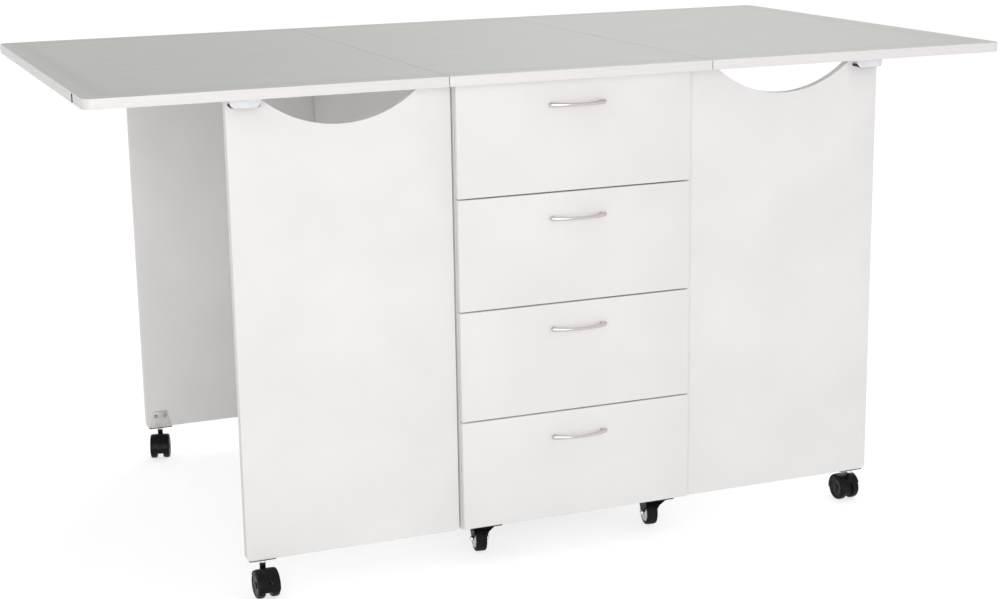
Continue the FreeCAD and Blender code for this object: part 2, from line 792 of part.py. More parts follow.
def castor_bracket(sign):
    """An angle plate at the gate's outer corner, and the castor's stem, its nut and two screws."""
    centre = f"{sign} * stem_x"
    flange = slab(
        "flange",
        (f"{centre} - bracket_width / 2", f"{centre} + bracket_width / 2"),
        ("bracket_front_inset - (carcass_face)", "bracket_sheet - (gate_inner_face)"),
        ("bracket_base_z", "floor_clearance"),
    )
    top_z = "floor_clearance + bracket_height"
    corners = [
        (f"{centre} - bracket_foot_width / 2", "bracket_base_z"),
        (f"{centre} + bracket_foot_width / 2", "bracket_base_z"),
        (f"{centre} + bracket_top_width / 2", top_z),
        (f"{centre} - bracket_top_width / 2", top_z),
    ]
    plate = padded_body("bracket_plate", "XZ_Plane", corners, "bracket_sheet")
    stand(plate, y="bracket_sheet - (gate_inner_face)")
    across = (centre, "-(stem_y)")
    hole_z = ("bracket_base_z - past", "floor_clearance + past")
    hole = rod("stem_hole", "z", hole_z, across, "stem_radius + fit")
    bracket = cut("bracket", fuse("bracket_blank", flange, plate), hole, *bracket_screws(sign, pilot))
    nut = doc.addObject("Part::Prism", "nut_blank")
    nut.Polygon = 6
    nut.setExpression("Circumradius", expand("nut_radius"))
    nut.setExpression("Height", expand("nut_height"))
    stand(nut, *across, "nut_base_z")
    thread_z = ("nut_base_z - past", "bracket_base_z + past")
    thread = rod("thread", "z", thread_z, across, "stem_radius + screw_play")
    stem_z = ("stem_base_z", "floor_clearance + stem_bite - screw_play")
    stem = rod("stem", "z", stem_z, across, "stem_radius")
    return [bracket, cut("nut", nut, thread), stem, *bracket_screws(sign, standing_screw)]


def gate_nodes():
    corners = product(ENDS.values(), SIDES.values())
    fixed = [turn_to(end, gate_hinges(side * -end, True)[0]) for end, side in corners]
    node("gate_hinges_fixed", *fixed)
    for (end_name, end), (side_name, side) in product(ENDS.items(), SIDES.items()):
        place = f"{end_name}_{side_name}"
        sign = side * -end
        node(f"gate_{place}", turn_to(end, gate_panel(f"gate_{place}", sign)))
        node(f"gate_hinges_{place}", turn_to(end, gate_hinges(sign, False)[0]))
        bracket = group(castor_bracket(sign), "castor_bracket")
        node(f"castor_bracket_{place}", turn_to(end, bracket))


# The castors, each in a frame of its own: its swivel along Z from the floor up, trailing along +X.


def wheel(name, profile):
    """A body revolved about Y from a polygon of (distance along Y, radius) pairs."""
    body = doc.addObject("PartDesign::Body", name)
    drawing = sketch(body, f"{name}_profile", "YZ_Plane")
    draw_polygon(drawing, profile)
    turned = body.newObject("PartDesign::Revolution", f"{name}_turned")
    turned.Profile = drawing
    turned.ReferenceAxis = (drawing, ["H_Axis"])
    doc.recompute()
    return body


def heading_turn(heading):
    return Rotation(Vector(0, 0, 1), heading)


def twin_castor_hood():
    """A web between the wheels, a shroud over both and a neck round the stem."""
    axle = ("castor_trail", "wheel_radius")
    web = rod("web", "y", both_ways("twin_wheel_gap / 2 - web_play"), axle, "hood_radius")
    shroud_half = "twin_half - hood_reveal"
    outer = rod("outer", "y", both_ways(shroud_half), axle, "hood_radius")
    inner = rod("inner", "y", both_ways(f"{shroud_half} + past"), axle, "wheel_radius + hood_play")
    neck = rod("neck", "z", ("neck_base_z", "nut_base_z - neck_gap"), (0, 0), "neck_radius")
    blank = fuse("hood_blank", web, cut("shroud", outer, inner), neck)
    low = slab(
        "notch",
        ("castor_trail - hood_radius - past", "castor_trail + hood_radius + past"),
        both_ways("twin_half + past"),
        ("wheel_radius - hood_radius - past", "hood_notch"),
    )
    bore_z = ("stem_base_z - fit", "nut_base_z")
    stem_bore = rod("stem_bore", "z", bore_z, (0, 0), "stem_radius + axle_play")
    axle_bore = rod("axle_bore", "y", both_ways("twin_wheel_gap"), axle, "axle_radius + axle_play")
    return cut("hood", blank, low, stem_bore, axle_bore)


def twin_wheels():
    """Two dished wheels and the axle that they share."""
    bore = "axle_radius + screw_play"
    near = "twin_wheel_gap / 2"
    rim = "wheel_radius - twin_wheel_rim"
    dish = "twin_half - twin_wheel_dish"
    profile = [
        (near, bore),
        (near, "wheel_radius - twin_wheel_easing"),
        (f"{near} + twin_wheel_easing", "wheel_radius"),
        ("twin_half - twin_wheel_bevel", "wheel_radius"),
        ("twin_half", "wheel_radius - twin_wheel_bevel"),
        ("twin_half", rim),
        (dish, f"{rim} - twin_wheel_dish"),
        (dish, "hub_radius"),
        ("twin_half", "hub_radius - hub_bevel"),
        ("twin_half", bore),
    ]
    wheels = [
        wheel("twin_wheel", [(f"{side} * ({y})", radius) for y, radius in profile])
        for side in SIDES.values()
    ]
    axle = rod("axle", "y", both_ways("twin_half - hub_bevel"), (0, 0), "axle_radius")
    pair = group([*wheels, axle], "wheel_pair")
    return stand(pair, "castor_trail", 0, "wheel_radius")


def gate_castor_nodes():
    for (end_name, side_name), heading in GATE_CASTOR_HEADINGS.items():
        place = f"{end_name}_{side_name}"
        spot = (f"{SIDES[side_name]} * stem_x", f"{ENDS[end_name]} * stem_y", 0, heading_turn(heading))
        node(f"castor_hood_{place}", stand(twin_castor_hood(), *spot))
        node(f"castor_wheels_{place}", stand(group([twin_wheels()], "wheels"), *spot))


def plate_screws(make):
    reach = "plate_size / 2 - plate_screw_inset"
    upwards = Rotation(Vector(1, 0, 0), 180)
    return [
        stand(make(), f"{x} * ({reach})", f"{y} * ({reach})", "plate_base_z", upwards)
        for x, y in product((-1, 1), repeat=2)
    ]


def castor_plate_pieces():
    """The four castor plates with kingpins and screws, and the screws' pilot holes."""
    plates, pilots = [], []
    for side, end in product(SIDES.values(), ENDS.values()):
        half = both_ways("plate_size / 2")
        holes = plate_screws(pilot)
        blank = slab("plate", half, half, ("plate_base_z", "floor_clearance"))
        race = rod("race", "z", ("race_base_z", "plate_base_z"), (0, 0), "race_radius")
        pin = rod("kingpin", "z", ("kingpin_base_z", "race_base_z"), (0, 0), "kingpin_radius")
        head_z = ("kingpin_base_z", "kingpin_base_z + kingpin_head")
        head = rod("head", "z", head_z, (0, 0), "kingpin_head_radius")
        plate = fuse("castor_plate", cut("drilled", blank, *holes), race, pin, head)
        screws = plate_screws(standing_screw)
        spot = (f"{side} * plate_x", f"{end} * plate_y")
        plates.append(stand(group([plate, *screws], "castor_plate_set"), *spot))
        pilots.append(stand(group(plate_screws(pilot), "plate_pilots"), *spot))
    return plates, pilots


def fork():
    """A crown under the race, two legs, and the bolt that carries the wheel."""
    top, crown_base = "fork_top_z", "fork_top_z - fork_sheet"
    crown = slab("crown", ("-(race_radius)", "fork_trail"), both_ways("fork_outside"), (crown_base, top))
    disc = rod("disc", "z", (crown_base, top), (0, 0), "race_radius")
    lug_base = "wheel_radius - fork_lug_radius"
    shoulder = "wheel_radius + fork_shoulder"
    outline = [
        ("-(race_radius)", top),
        ("fork_trail - fork_lug_radius", shoulder),
        ("fork_trail - fork_lug_flat", lug_base),
        ("fork_trail + fork_lug_flat", lug_base),
        ("fork_trail + fork_lug_radius", shoulder),
        ("pedal_x + pedal_lug", "pedal_z - pedal_lug"),
        ("pedal_x + pedal_lug", "pedal_z + pedal_sheet"),
        ("fork_trail", top),
    ]
    legs = [
        stand(padded_body("fork_leg", "XZ_Plane", outline, "fork_sheet"), y=y)
        for y in ("-(fork_inside)", "fork_outside")
    ]
    across = both_ways("fork_outside + past")
    centre = ("fork_trail", "wheel_radius")
    king_z = (f"{crown_base} - past", f"{top} + past")
    pivot = rod("pivot_hole", "y", across, ("pedal_x", "pedal_z"), "pedal_pin_radius + axle_play")
    king = rod("king_hole", "z", king_z, (0, 0), "kingpin_radius + axle_play")
    bolt_hole = rod("bolt_hole", "y", across, centre, "bolt_radius + screw_play")
    frame = cut("fork", fuse("fork_blank", crown, disc, *legs), pivot, king, bolt_hole)
    head_spans = [span(side, "fork_outside", "fork_outside + bolt_head") for side in SIDES.values()]
    heads = [rod("head", "y", head_y, centre, "bolt_head_radius") for head_y in head_spans]
    bolt = fuse("bolt", rod("bolt_shank", "y", both_ways("fork_outside"), centre, "bolt_radius"), *heads)
    return group([frame, bolt], "fork_set")


def plate_castor_wheel():
    """A core with a tyre round it."""
    half = "plate_wheel_width / 2"
    bore = "bolt_radius + axle_play"
    core = [
        (f"-({half})", bore),
        (f"-({half})", "core_radius"),
        (half, "core_radius"),
        (half, bore),
    ]
    tyre = [
        (f"-({half})", "core_radius"),
        (f"-({half})", "wheel_radius - tyre_easing"),
        (f"tyre_easing - {half}", "wheel_radius"),
        (f"{half} - tyre_easing", "wheel_radius"),
        (half, "wheel_radius - tyre_easing"),
        (half, "core_radius"),
    ]
    rolling = group([wheel("core", core), wheel("tyre", tyre)], "fork_wheel")
    return stand(rolling, "fork_trail", 0, "wheel_radius")


def brake_pedal():
    """A pressed plate that rocks on a pin through the fork, its outer end turned down as a tread."""
    pivot = ("pedal_x", "pedal_z")
    half = both_ways("pedal_width / 2")
    tip = "pedal_x + pedal_overhang"
    arm_z = ("pedal_z + pedal_air", "pedal_z + pedal_air + pedal_sheet")
    arm = slab("arm", (f"{tip} - pedal_length", tip), half, arm_z)
    tread_z = ("pedal_z - pedal_tread_depth", arm_z[1])
    tread = slab("tread", (f"{tip} - pedal_sheet", tip), half, tread_z)
    boss = rod("boss", "y", half, pivot, "pedal_pin_radius + pedal_boss")
    pin = rod("pedal_pin", "y", both_ways("fork_outside + pedal_pin_reveal"), pivot, "pedal_pin_radius")
    return fuse("brake_pedal", arm, tread, boss, pin)


def cabinet_castor_nodes():
    node("castor_plates", *castor_plate_pieces()[0])
    for (end_name, side_name), heading in CABINET_CASTOR_HEADINGS.items():
        place = f"{end_name}_{side_name}"
        spot = (f"{SIDES[side_name]} * plate_x", f"{ENDS[end_name]} * plate_y", 0, heading_turn(heading))
        node(f"fork_{place}", stand(fork(), *spot))
        node(f"fork_wheel_{place}", stand(group([plate_castor_wheel()], "wheel_place"), *spot))
        if end_name == "front":
            node(f"brake_pedal_{place}", stand(group([brake_pedal()], "pedal_place"), *spot))


def check_model():
    """Stop on any object that failed, and on any sub-part without a sound solid."""
    for obj in doc.Objects:
        if {"Invalid", "Error"} & set(obj.State):
            raise RuntimeError(f"{obj.Name} ({obj.Label}) failed: {obj.State}")
    for part in nodes:
        if part.Shape.isNull() or not part.Shape.isValid() or not part.Shape.Solids:
            raise RuntimeError(f"{part.Label} has no sound solid")


def export_nodes():
    os.makedirs("parts", exist_ok=True)
    for part in nodes:
        part.Shape.exportStep(f"parts/{part.Label}.step")
    print(f"{len(nodes)} sub-parts")


fill_sheet()
centre_top_nodes()
for side_name, side_sign in SIDES.items():
    leaf_nodes(side_name, side_sign)
cabinet_nodes()
drawer_nodes()
gate_nodes()
gate_castor_nodes()
cabinet_castor_nodes()
doc.recompute()
check_model()
export_nodes()
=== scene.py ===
import json
import math
from contextlib import contextmanager
from functools import partial
from itertools import product

import bpy
from mathutils import Matrix, Vector

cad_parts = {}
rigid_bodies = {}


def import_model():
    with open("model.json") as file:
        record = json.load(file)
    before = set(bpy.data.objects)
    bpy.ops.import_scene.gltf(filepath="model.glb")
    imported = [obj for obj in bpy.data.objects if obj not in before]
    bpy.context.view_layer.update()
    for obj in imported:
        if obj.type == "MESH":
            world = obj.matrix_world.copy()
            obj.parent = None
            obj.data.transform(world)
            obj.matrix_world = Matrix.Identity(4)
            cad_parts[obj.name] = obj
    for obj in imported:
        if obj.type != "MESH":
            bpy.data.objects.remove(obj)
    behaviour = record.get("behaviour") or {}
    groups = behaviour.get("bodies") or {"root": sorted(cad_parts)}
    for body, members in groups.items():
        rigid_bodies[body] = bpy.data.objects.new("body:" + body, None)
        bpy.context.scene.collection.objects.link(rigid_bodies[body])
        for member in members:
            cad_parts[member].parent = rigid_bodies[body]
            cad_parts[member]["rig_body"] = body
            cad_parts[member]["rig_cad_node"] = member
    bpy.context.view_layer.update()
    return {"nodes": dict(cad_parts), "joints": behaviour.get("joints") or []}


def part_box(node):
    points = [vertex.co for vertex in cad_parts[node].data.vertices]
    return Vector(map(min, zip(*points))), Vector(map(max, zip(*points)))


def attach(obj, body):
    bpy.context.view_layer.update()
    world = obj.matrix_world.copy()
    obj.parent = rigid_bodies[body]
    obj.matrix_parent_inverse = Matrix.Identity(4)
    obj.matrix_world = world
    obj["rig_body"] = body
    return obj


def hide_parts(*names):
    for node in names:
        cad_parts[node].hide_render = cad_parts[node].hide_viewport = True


# The looks of a folding table for sewing and cutting: laminate tops with their edge bands, melamine
# boards, bow handles, butt hinges, hooded twin-wheel castors on the gates and plate castors under
# the cabinet.
#
# Sizes are in millimetres and MM turns them into metres. Places come from the frame's nodes and
# joints. A piece that repeats is modelled once, in a frame of its own, and copied to its places.

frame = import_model()

MM = 0.001
SIDES = {"left": -1, "right": 1}
PLACES = [f"{end}_{side}" for end, side in product(("front", "back"), SIDES)]
DRAWERS = (1, 2, 3, 4)
JOINTS = {joint["name"]: joint for joint in frame["joints"]}


# Places


def node_box(node):
    """The lowest and highest corner of a CAD node, in millimetres."""
    low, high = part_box(node)
    return low / MM, high / MM


def joint_place(name):
    return Vector(JOINTS[name]["pos_m"]) / MM


def moved(x, y, z=0):
    return Matrix.Translation(Vector((x, y, z)) * MM)


def turned_by(degrees, axis):
    return Matrix.Rotation(math.radians(degrees), 4, axis)


# Modelling


def take(*objects):
    """Select these objects alone, and make the first one active."""
    bpy.ops.object.select_all(action="DESELECT")
    for obj in objects:
        obj.select_set(True)
    bpy.context.view_layer.objects.active = objects[0]
    return objects[0]


def named(name):
    """Name the object that an operator has just added, and its mesh."""
    obj = bpy.context.active_object
    obj.name = name
    obj.data.name = name
    return obj


def settle(obj):
    """Put an object's place, turn and size into its mesh."""
    take(obj)
    bpy.ops.object.transform_apply(location=True, rotation=True, scale=True)
    return obj


def stand(obj, matrix):
    obj.matrix_world = matrix
    return settle(obj)


def copied(obj, name, matrix=Matrix()):
    take(obj)
    bpy.ops.object.duplicate()
    return stand(named(name), matrix)


def joined(name, *objects):
    take(*objects)
    if len(objects) > 1:
        bpy.ops.object.join()
    return named(name)


def discard(*objects):
    take(*objects)
    bpy.ops.object.delete()


def modify(obj, kind, **settings):
    """Add a modifier with its settings and apply it."""
    take(obj)
    modifier = obj.modifiers.new(kind.lower(), kind)
    for name, value in settings.items():
        setattr(modifier, name, value)
    bpy.ops.object.modifier_apply(modifier=modifier.name)
    return obj


def smooth(obj, degrees=35):
    take(obj)
    bpy.ops.object.shade_smooth_by_angle(angle=math.radians(degrees))
    return obj


def ease(obj, width, segments=2, degrees=30):
    """Round every sharp edge a little, and shade what is round as round."""
    modify(
        obj,
        "BEVEL",
        width=width * MM,
        segments=segments,
        limit_method="ANGLE",
        angle_limit=math.radians(degrees),
        use_clamp_overlap=True,
    )
    return smooth(obj)


@contextmanager
def editing(obj, kind="VERT", wanted=None):
    """Edit mode, with all of an object selected, or the faces or edges for which wanted is true."""
    take(obj)
    bpy.ops.object.mode_set(mode="EDIT")
    bpy.ops.mesh.select_mode(type=kind)
    bpy.ops.mesh.select_all(action="DESELECT" if wanted else "SELECT")
    if wanted:
        bpy.ops.object.mode_set(mode="OBJECT")
        for part in obj.data.polygons if kind == "FACE" else obj.data.edges:
            part.select = wanted(part)
        bpy.ops.object.mode_set(mode="EDIT")
    yield
    bpy.ops.object.mode_set(mode="OBJECT")


def edge_ends(obj, edge):
    return [obj.data.vertices[i].co for i in edge.vertices]


def round_corners(obj, radius, axis, wanted=lambda middle: True, segments=8):
    """Round the straight edges along an axis for which wanted is true of the edge's middle."""

    def meant(edge):
        start, end = edge_ends(obj, edge)
        return abs((end - start).normalized()[axis]) > 0.999 and wanted((start + end) / (2 * MM))

    with editing(obj, "EDGE", meant):
        bpy.ops.mesh.bevel(offset=radius * MM, segments=segments, affect="EDGES")
    return obj


def recalculate(obj):
    """Merge doubles, close what is open and turn every face outwards."""
    with editing(obj):
        bpy.ops.mesh.remove_doubles(threshold=0.002 * MM)
        bpy.ops.mesh.fill_holes(sides=0)
        bpy.ops.mesh.normals_make_consistent(inside=False)
    return obj


def block(name, low, high):
    """A box between two corners."""
    low, high = Vector(low), Vector(high)
    bpy.ops.object.select_all(action="DESELECT")
    bpy.ops.mesh.primitive_cube_add(size=1, location=(low + high) / 2 * MM)
    obj = named(name)
    obj.scale = (high - low) * MM
    return settle(obj)


def rod(name, radius, low, high, sides=32):
    """A cylinder along Z between two heights."""
    bpy.ops.object.select_all(action="DESELECT")
    bpy.ops.mesh.primitive_cylinder_add(
        vertices=sides,
        radius=radius * MM,
        depth=(high - low) * MM,
        location=(0, 0, (low + high) / 2 * MM),
    )
    return settle(named(name))


def lathe(name, profile, sides=48):
    """A ring of points drawn out along Z through (height, radius) pairs. A profile that ends where
    it began closes on itself, and the ends of any other are filled."""
    height, radius = profile[0]
    bpy.ops.object.select_all(action="DESELECT")
    bpy.ops.mesh.primitive_circle_add(
        vertices=sides, radius=radius * MM, location=(0, 0, height * MM), fill_type="NOTHING"
    )
    obj = settle(named(name))
    with editing(obj):
        for next_height, next_radius in profile[1:]:
            rise = (0, 0, (next_height - height) * MM)
            bpy.ops.mesh.extrude_region_move(TRANSFORM_OT_translate={"value": rise})
            growth = next_radius / radius
            centre = (0, 0, next_height * MM)
            bpy.ops.transform.resize(value=(growth, growth, 1), center_override=centre)
            height, radius = next_height, next_radius
    return smooth(recalculate(obj))


def both_ways(side):
    """A profile drawn for one side, and its mirror image from the middle to the other side."""
    return side + [(-height, radius) for height, radius in reversed(side)]


def closed(profile):
    return profile + profile[:1]


def cut_away(obj, *tools):
    """Cut the tools' shapes out of an object."""
    for tool in tools:
        modify(obj, "BOOLEAN", object=tool, operation="DIFFERENCE", solver="EXACT")
    discard(*tools)
    return obj


def slice_off(obj, point, normal, drop=True):
    """Cut an object by a plane, drop what lies on the normal's side and close the cut. Without the
    drop, the plane only leaves a line of edges."""
    point = Vector(point) * MM
    with editing(obj):
        bpy.ops.mesh.bisect(plane_co=point, plane_no=normal, use_fill=drop, clear_outer=drop)
    return obj


# Materials


def linear(code):
    """A linear colour from an sRGB hex value."""
    channels = [int(code[i : i + 2], 16) / 255 for i in (1, 3, 5)]
    return [c / 12.92 if c <= 0.04045 else ((c + 0.055) / 1.055) ** 2.4 for c in channels] + [1]


def add_node(tree, kind, inputs=None, stops=(), **settings):
    """A node with its settings and, on a ramp, its stops. An input gets a value, or a link from a
    socket or from a node's first output."""
    node = tree.nodes.new(kind)
    for name, value in settings.items():
        setattr(node, name, value)
    for key, value in (inputs or {}).items():
        source = value.outputs[0] if isinstance(value, bpy.types.Node) else value
        if isinstance(source, bpy.types.NodeSocket):
            tree.links.new(source, node.inputs[key])
        else:
            node.inputs[key].default_value = source
    for i, (position, code) in enumerate(stops):
        elements = node.color_ramp.elements
        element = elements[i] if i < len(elements) else elements.new(position)
        element.position = position
        element.color = linear(code)
    return node


def finish(recipe, slot=None):
    """A material named for its recipe, a function that takes the one that adds a node and the
    object's own coordinates, and returns the surface."""
    material = bpy.data.materials.new(recipe.__name__)
    material.use_nodes = True
    material.node_tree.nodes.clear()
    add = partial(add_node, material.node_tree)
    surface = recipe(add, add("ShaderNodeTexCoord").outputs["Object"])
    add("ShaderNodeOutputMaterial", {"Surface": surface})
    return material


def per(size):
    """The scale of a pattern whose lumps are about size millimetres."""
    return 1 / (size * MM)


TABLE_HALF = node_box("leaf_right")[1] * MM  # metres, half the opened table's length and depth
BORDER_INSET = 0.040  # metres from the outline to the middle of the printed border
BORDER_HALF = 0.022
BORDER_SOLID = 0.15  # share of that half at the border's full strength
BORDER_STRENGTH = 0.36


def grey_laminate(add, place):
    """High-pressure laminate, a printed sheet pressed against a matt plate. The print is a soft
    cloudy grey drawn out along the table, a fine speckle, and a slightly darker border inside the
    outline. The plate leaves a dull satin that is a little glossier where the print is denser."""
    along = add("ShaderNodeMapping", {"Vector": place, "Scale": (per(150), per(45), per(45))})
    clouds = add("ShaderNodeTexNoise", {"Vector": along, "Scale": 1.0, "Detail": 6.0})
    mist = add(
        "ShaderNodeValToRGB",
        {"Fac": clouds},
        stops=[(0.3, "#b3b5ae"), (0.5, "#b8b9b3"), (0.7, "#bdbeb9")],
    )
    # real speckles are half a millimetre, and these are drawn twice as coarse so that they show
    speckle = add("ShaderNodeTexNoise", {"Vector": place, "Scale": per(1.1), "Detail": 2.0})
    dust = add("ShaderNodeValToRGB", {"Fac": speckle}, stops=[(0.35, "#f5f5f4"), (0.6, "#ffffff")])
    dusted = add(
        "ShaderNodeMix", {0: 1.0, 6: mist, 7: dust}, data_type="RGBA", blend_type="MULTIPLY"
    )
    across = add("ShaderNodeSeparateXYZ", {"Vector": place}).outputs
    from_middle = [add("ShaderNodeMath", {0: across[i]}, operation="ABSOLUTE") for i in (0, 1)]
    to_edge = [
        add("ShaderNodeMath", {0: half, 1: middle}, operation="SUBTRACT")
        for half, middle in zip(TABLE_HALF, from_middle)
    ]
    inset = add("ShaderNodeMath", {0: to_edge[0], 1: to_edge[1]}, operation="MINIMUM")
    off_line = add("ShaderNodeMath", {0: inset, 1: BORDER_INSET}, operation="SUBTRACT")
    distance = add("ShaderNodeMath", {0: off_line}, operation="ABSOLUTE")
    solid = BORDER_SOLID * BORDER_HALF
    border = add(
        "ShaderNodeMapRange", {0: distance, 1: solid, 2: BORDER_HALF, 3: BORDER_STRENGTH, 4: 0.0}
    )
    worn = add("ShaderNodeMath", {0: border, 1: clouds}, operation="MULTIPLY")
    color = add(
        "ShaderNodeMix", {0: worn, 6: dusted.outputs[2], 7: linear("#90928b")}, data_type="RGBA"
    ).outputs[2]
    gloss = add("ShaderNodeMapRange", {0: clouds, 1: 0.3, 2: 0.7, 3: 0.46, 4: 0.54})
    skin = add("ShaderNodeBump", {"Height": speckle, "Distance": 0.02 * MM, "Strength": 0.4})
    return add(
        "ShaderNodeBsdfPrincipled",
        {"Base Color": color, "Roughness": gloss, "Specular IOR Level": 0.4, "Normal": skin},
    )


def white_melamine(add, place):
    """Chipboard faced with melamine paper: white, with the faint orange peel that the press leaves
    and a barely uneven tone, satin to the light."""
    cloud = add("ShaderNodeTexNoise", {"Vector": place, "Scale": per(160), "Detail": 2.0})
    color = add("ShaderNodeValToRGB", {"Fac": cloud}, stops=[(0.35, "#efedec"), (0.65, "#f3f1f0")])
    peel = add("ShaderNodeTexNoise", {"Vector": place, "Scale": per(1.6), "Detail": 3.0})
    gloss = add("ShaderNodeMapRange", {0: peel, 1: 0.3, 2: 0.7, 3: 0.46, 4: 0.54})
    skin = add("ShaderNodeBump", {"Height": peel, "Distance": 0.03 * MM, "Strength": 0.5})
    return add(
        "ShaderNodeBsdfPrincipled",
        {"Base Color": color, "Roughness": gloss, "Specular IOR Level": 0.36, "Normal": skin},
    )


def white_edging(add, place):
    """ABS edge band, glued on and scraped flush: a shade darker than the faces and glossier, with
    fine lines along it from the scraper."""
    along = add("ShaderNodeMapping", {"Vector": place, "Scale": (per(48), per(48), per(0.8))})
    lines = add("ShaderNodeTexNoise", {"Vector": along, "Scale": 1.0, "Detail": 2.0})
    color = add("ShaderNodeValToRGB", {"Fac": lines}, stops=[(0.35, "#ece8e7"), (0.65, "#f0edec")])
    gloss = add("ShaderNodeMapRange", {0: lines, 1: 0.3, 2: 0.7, 3: 0.3, 4: 0.38})
    skin = add("ShaderNodeBump", {"Height": lines, "Distance": 0.015 * MM, "Strength": 0.4})
    return add(
        "ShaderNodeBsdfPrincipled", {"Base Color": color, "Roughness": gloss, "Normal": skin}
    )


def bare_chipboard(add, place):
    """The board's own pressed chips, where the band leaves them bare: dark brown from glue and
    dirt, dull, in flakes of a few millimetres."""
    chips = add("ShaderNodeTexVoronoi", {"Vector": place, "Scale": per(2.5)})
    color = add("ShaderNodeValToRGB", {"Fac": chips}, stops=[(0.2, "#2b2621"), (0.8, "#4d443a")])
    skin = add("ShaderNodeBump", {"Height": chips, "Distance": 0.2 * MM, "Strength": 0.7})
    return add("ShaderNodeBsdfPrincipled", {"Base Color": color, "Roughness": 0.85, "Normal": skin})


def lacquered_hardboard(add, place):
    """The drawers' bottoms: thin board in a white lacquer, with its fibres as a tint."""
    along = add("ShaderNodeMapping", {"Vector": place, "Scale": (per(7.5), per(2.5), per(2.5))})
    fibres = add("ShaderNodeTexNoise", {"Vector": along, "Scale": 1.0, "Detail": 5.0})
    color = add("ShaderNodeValToRGB", {"Fac": fibres}, stops=[(0.3, "#e6e2dc"), (0.7, "#efece8")])
    gloss = add("ShaderNodeMapRange", {0: fibres, 1: 0.3, 2: 0.7, 3: 0.45, 4: 0.6})
    skin = add("ShaderNodeBump", {"Height": fibres, "Distance": 0.05 * MM, "Strength": 0.4})
    return add(
        "ShaderNodeBsdfPrincipled", {"Base Color": color, "Roughness": gloss, "Normal": skin}
    )


def satin_nickel(add, place):
    """Zinc casting, brushed and nickel plated: a warm grey metal with fine brush lines along the
    bar, which draw its highlight out."""
    along = add("ShaderNodeMapping", {"Vector": place, "Scale": (per(20), per(0.5), per(0.5))})
    lines = add("ShaderNodeTexNoise", {"Vector": along, "Scale": 1.0, "Detail": 3.0})
    color = add("ShaderNodeValToRGB", {"Fac": lines}, stops=[(0.3, "#c0b6b1"), (0.7, "#d6cdc9")])
    gloss = add("ShaderNodeMapRange", {0: lines, 1: 0.3, 2: 0.7, 3: 0.2, 4: 0.3})
    skin = add("ShaderNodeBump", {"Height": lines, "Distance": 0.02 * MM, "Strength": 0.5})
    return add(
        "ShaderNodeBsdfPrincipled",
        {"Base Color": color, "Metallic": 1.0, "Roughness": gloss, "Normal": skin},
    )


def zinc_plated_steel(add, place):
    """Pressed steel with bright zinc plate: a pale grey metal, a little cloudy."""
    cloud = add("ShaderNodeTexNoise", {"Vector": place, "Scale": per(9), "Detail": 4.0})
    color = add("ShaderNodeValToRGB", {"Fac": cloud}, stops=[(0.3, "#b6b4b1"), (0.7, "#c8c6c3")])
    gloss = add("ShaderNodeMapRange", {0: cloud, 1: 0.3, 2: 0.7, 3: 0.3, 4: 0.45})
    grit = add("ShaderNodeTexNoise", {"Vector": place, "Scale": per(0.6), "Detail": 2.0})
    skin = add("ShaderNodeBump", {"Height": grit, "Distance": 0.02 * MM, "Strength": 0.5})
    return add(
        "ShaderNodeBsdfPrincipled",
        {"Base Color": color, "Metallic": 1.0, "Roughness": gloss, "Normal": skin},
    )


def bright_steel(add, place):
    """Turned and polished steel of bolts, nuts, pins, axles and screws: a pale metal with a clear
    highlight and faint turning marks."""
    marks = add("ShaderNodeTexNoise", {"Vector": place, "Scale": per(0.7), "Detail": 2.0})
    color = add("ShaderNodeValToRGB", {"Fac": marks}, stops=[(0.3, "#d2d4d6"), (0.7, "#e6e8e9")])
    gloss = add("ShaderNodeMapRange", {0: marks, 1: 0.3, 2: 0.7, 3: 0.18, 4: 0.3})
    skin = add("ShaderNodeBump", {"Height": marks, "Distance": 0.01 * MM, "Strength": 0.4})
    return add(
        "ShaderNodeBsdfPrincipled",
        {"Base Color": color, "Metallic": 1.0, "Roughness": gloss, "Normal": skin},
    )


def black_nylon(add, place):
    """Glass-filled nylon, injection moulded: black with a soft gloss, the fine texture of the mould
    and a few paler scuffs."""
    scuffs = add(
        "ShaderNodeTexNoise", {"Vector": place, "Scale": per(6), "Detail": 6.0, "Roughness": 0.7}
    )
    color = add(
        "ShaderNodeValToRGB",
        {"Fac": scuffs},
        stops=[(0.45, "#0b0b0d"), (0.7, "#111214"), (0.85, "#1e1f22")],
    )
    gloss = add("ShaderNodeMapRange", {0: scuffs, 1: 0.3, 2: 0.75, 3: 0.26, 4: 0.42})
    grain = add("ShaderNodeTexNoise", {"Vector": place, "Scale": per(0.5), "Detail": 2.0})
    skin = add("ShaderNodeBump", {"Height": grain, "Distance": 0.03 * MM, "Strength": 0.4})
    return add(
        "ShaderNodeBsdfPrincipled",
        {"Base Color": color, "Roughness": gloss, "Specular IOR Level": 0.14, "Normal": skin},
    )


def black_powder_coat(add, place):
    """Pressed steel with a black powder coat: even and satin, with a soft orange peel."""
    peel = add("ShaderNodeTexNoise", {"Vector": place, "Scale": per(1.2), "Detail": 2.0})
    color = add("ShaderNodeValToRGB", {"Fac": peel}, stops=[(0.3, "#0d0d0f"), (0.7, "#141517")])
    gloss = add("ShaderNodeMapRange", {0: peel, 1: 0.3, 2: 0.7, 3: 0.42, 4: 0.54})
    skin = add("ShaderNodeBump", {"Height": peel, "Distance": 0.05 * MM, "Strength": 0.5})
    return add(
        "ShaderNodeBsdfPrincipled",
        {"Base Color": color, "Roughness": gloss, "Specular IOR Level": 0.09, "Normal": skin},
    )


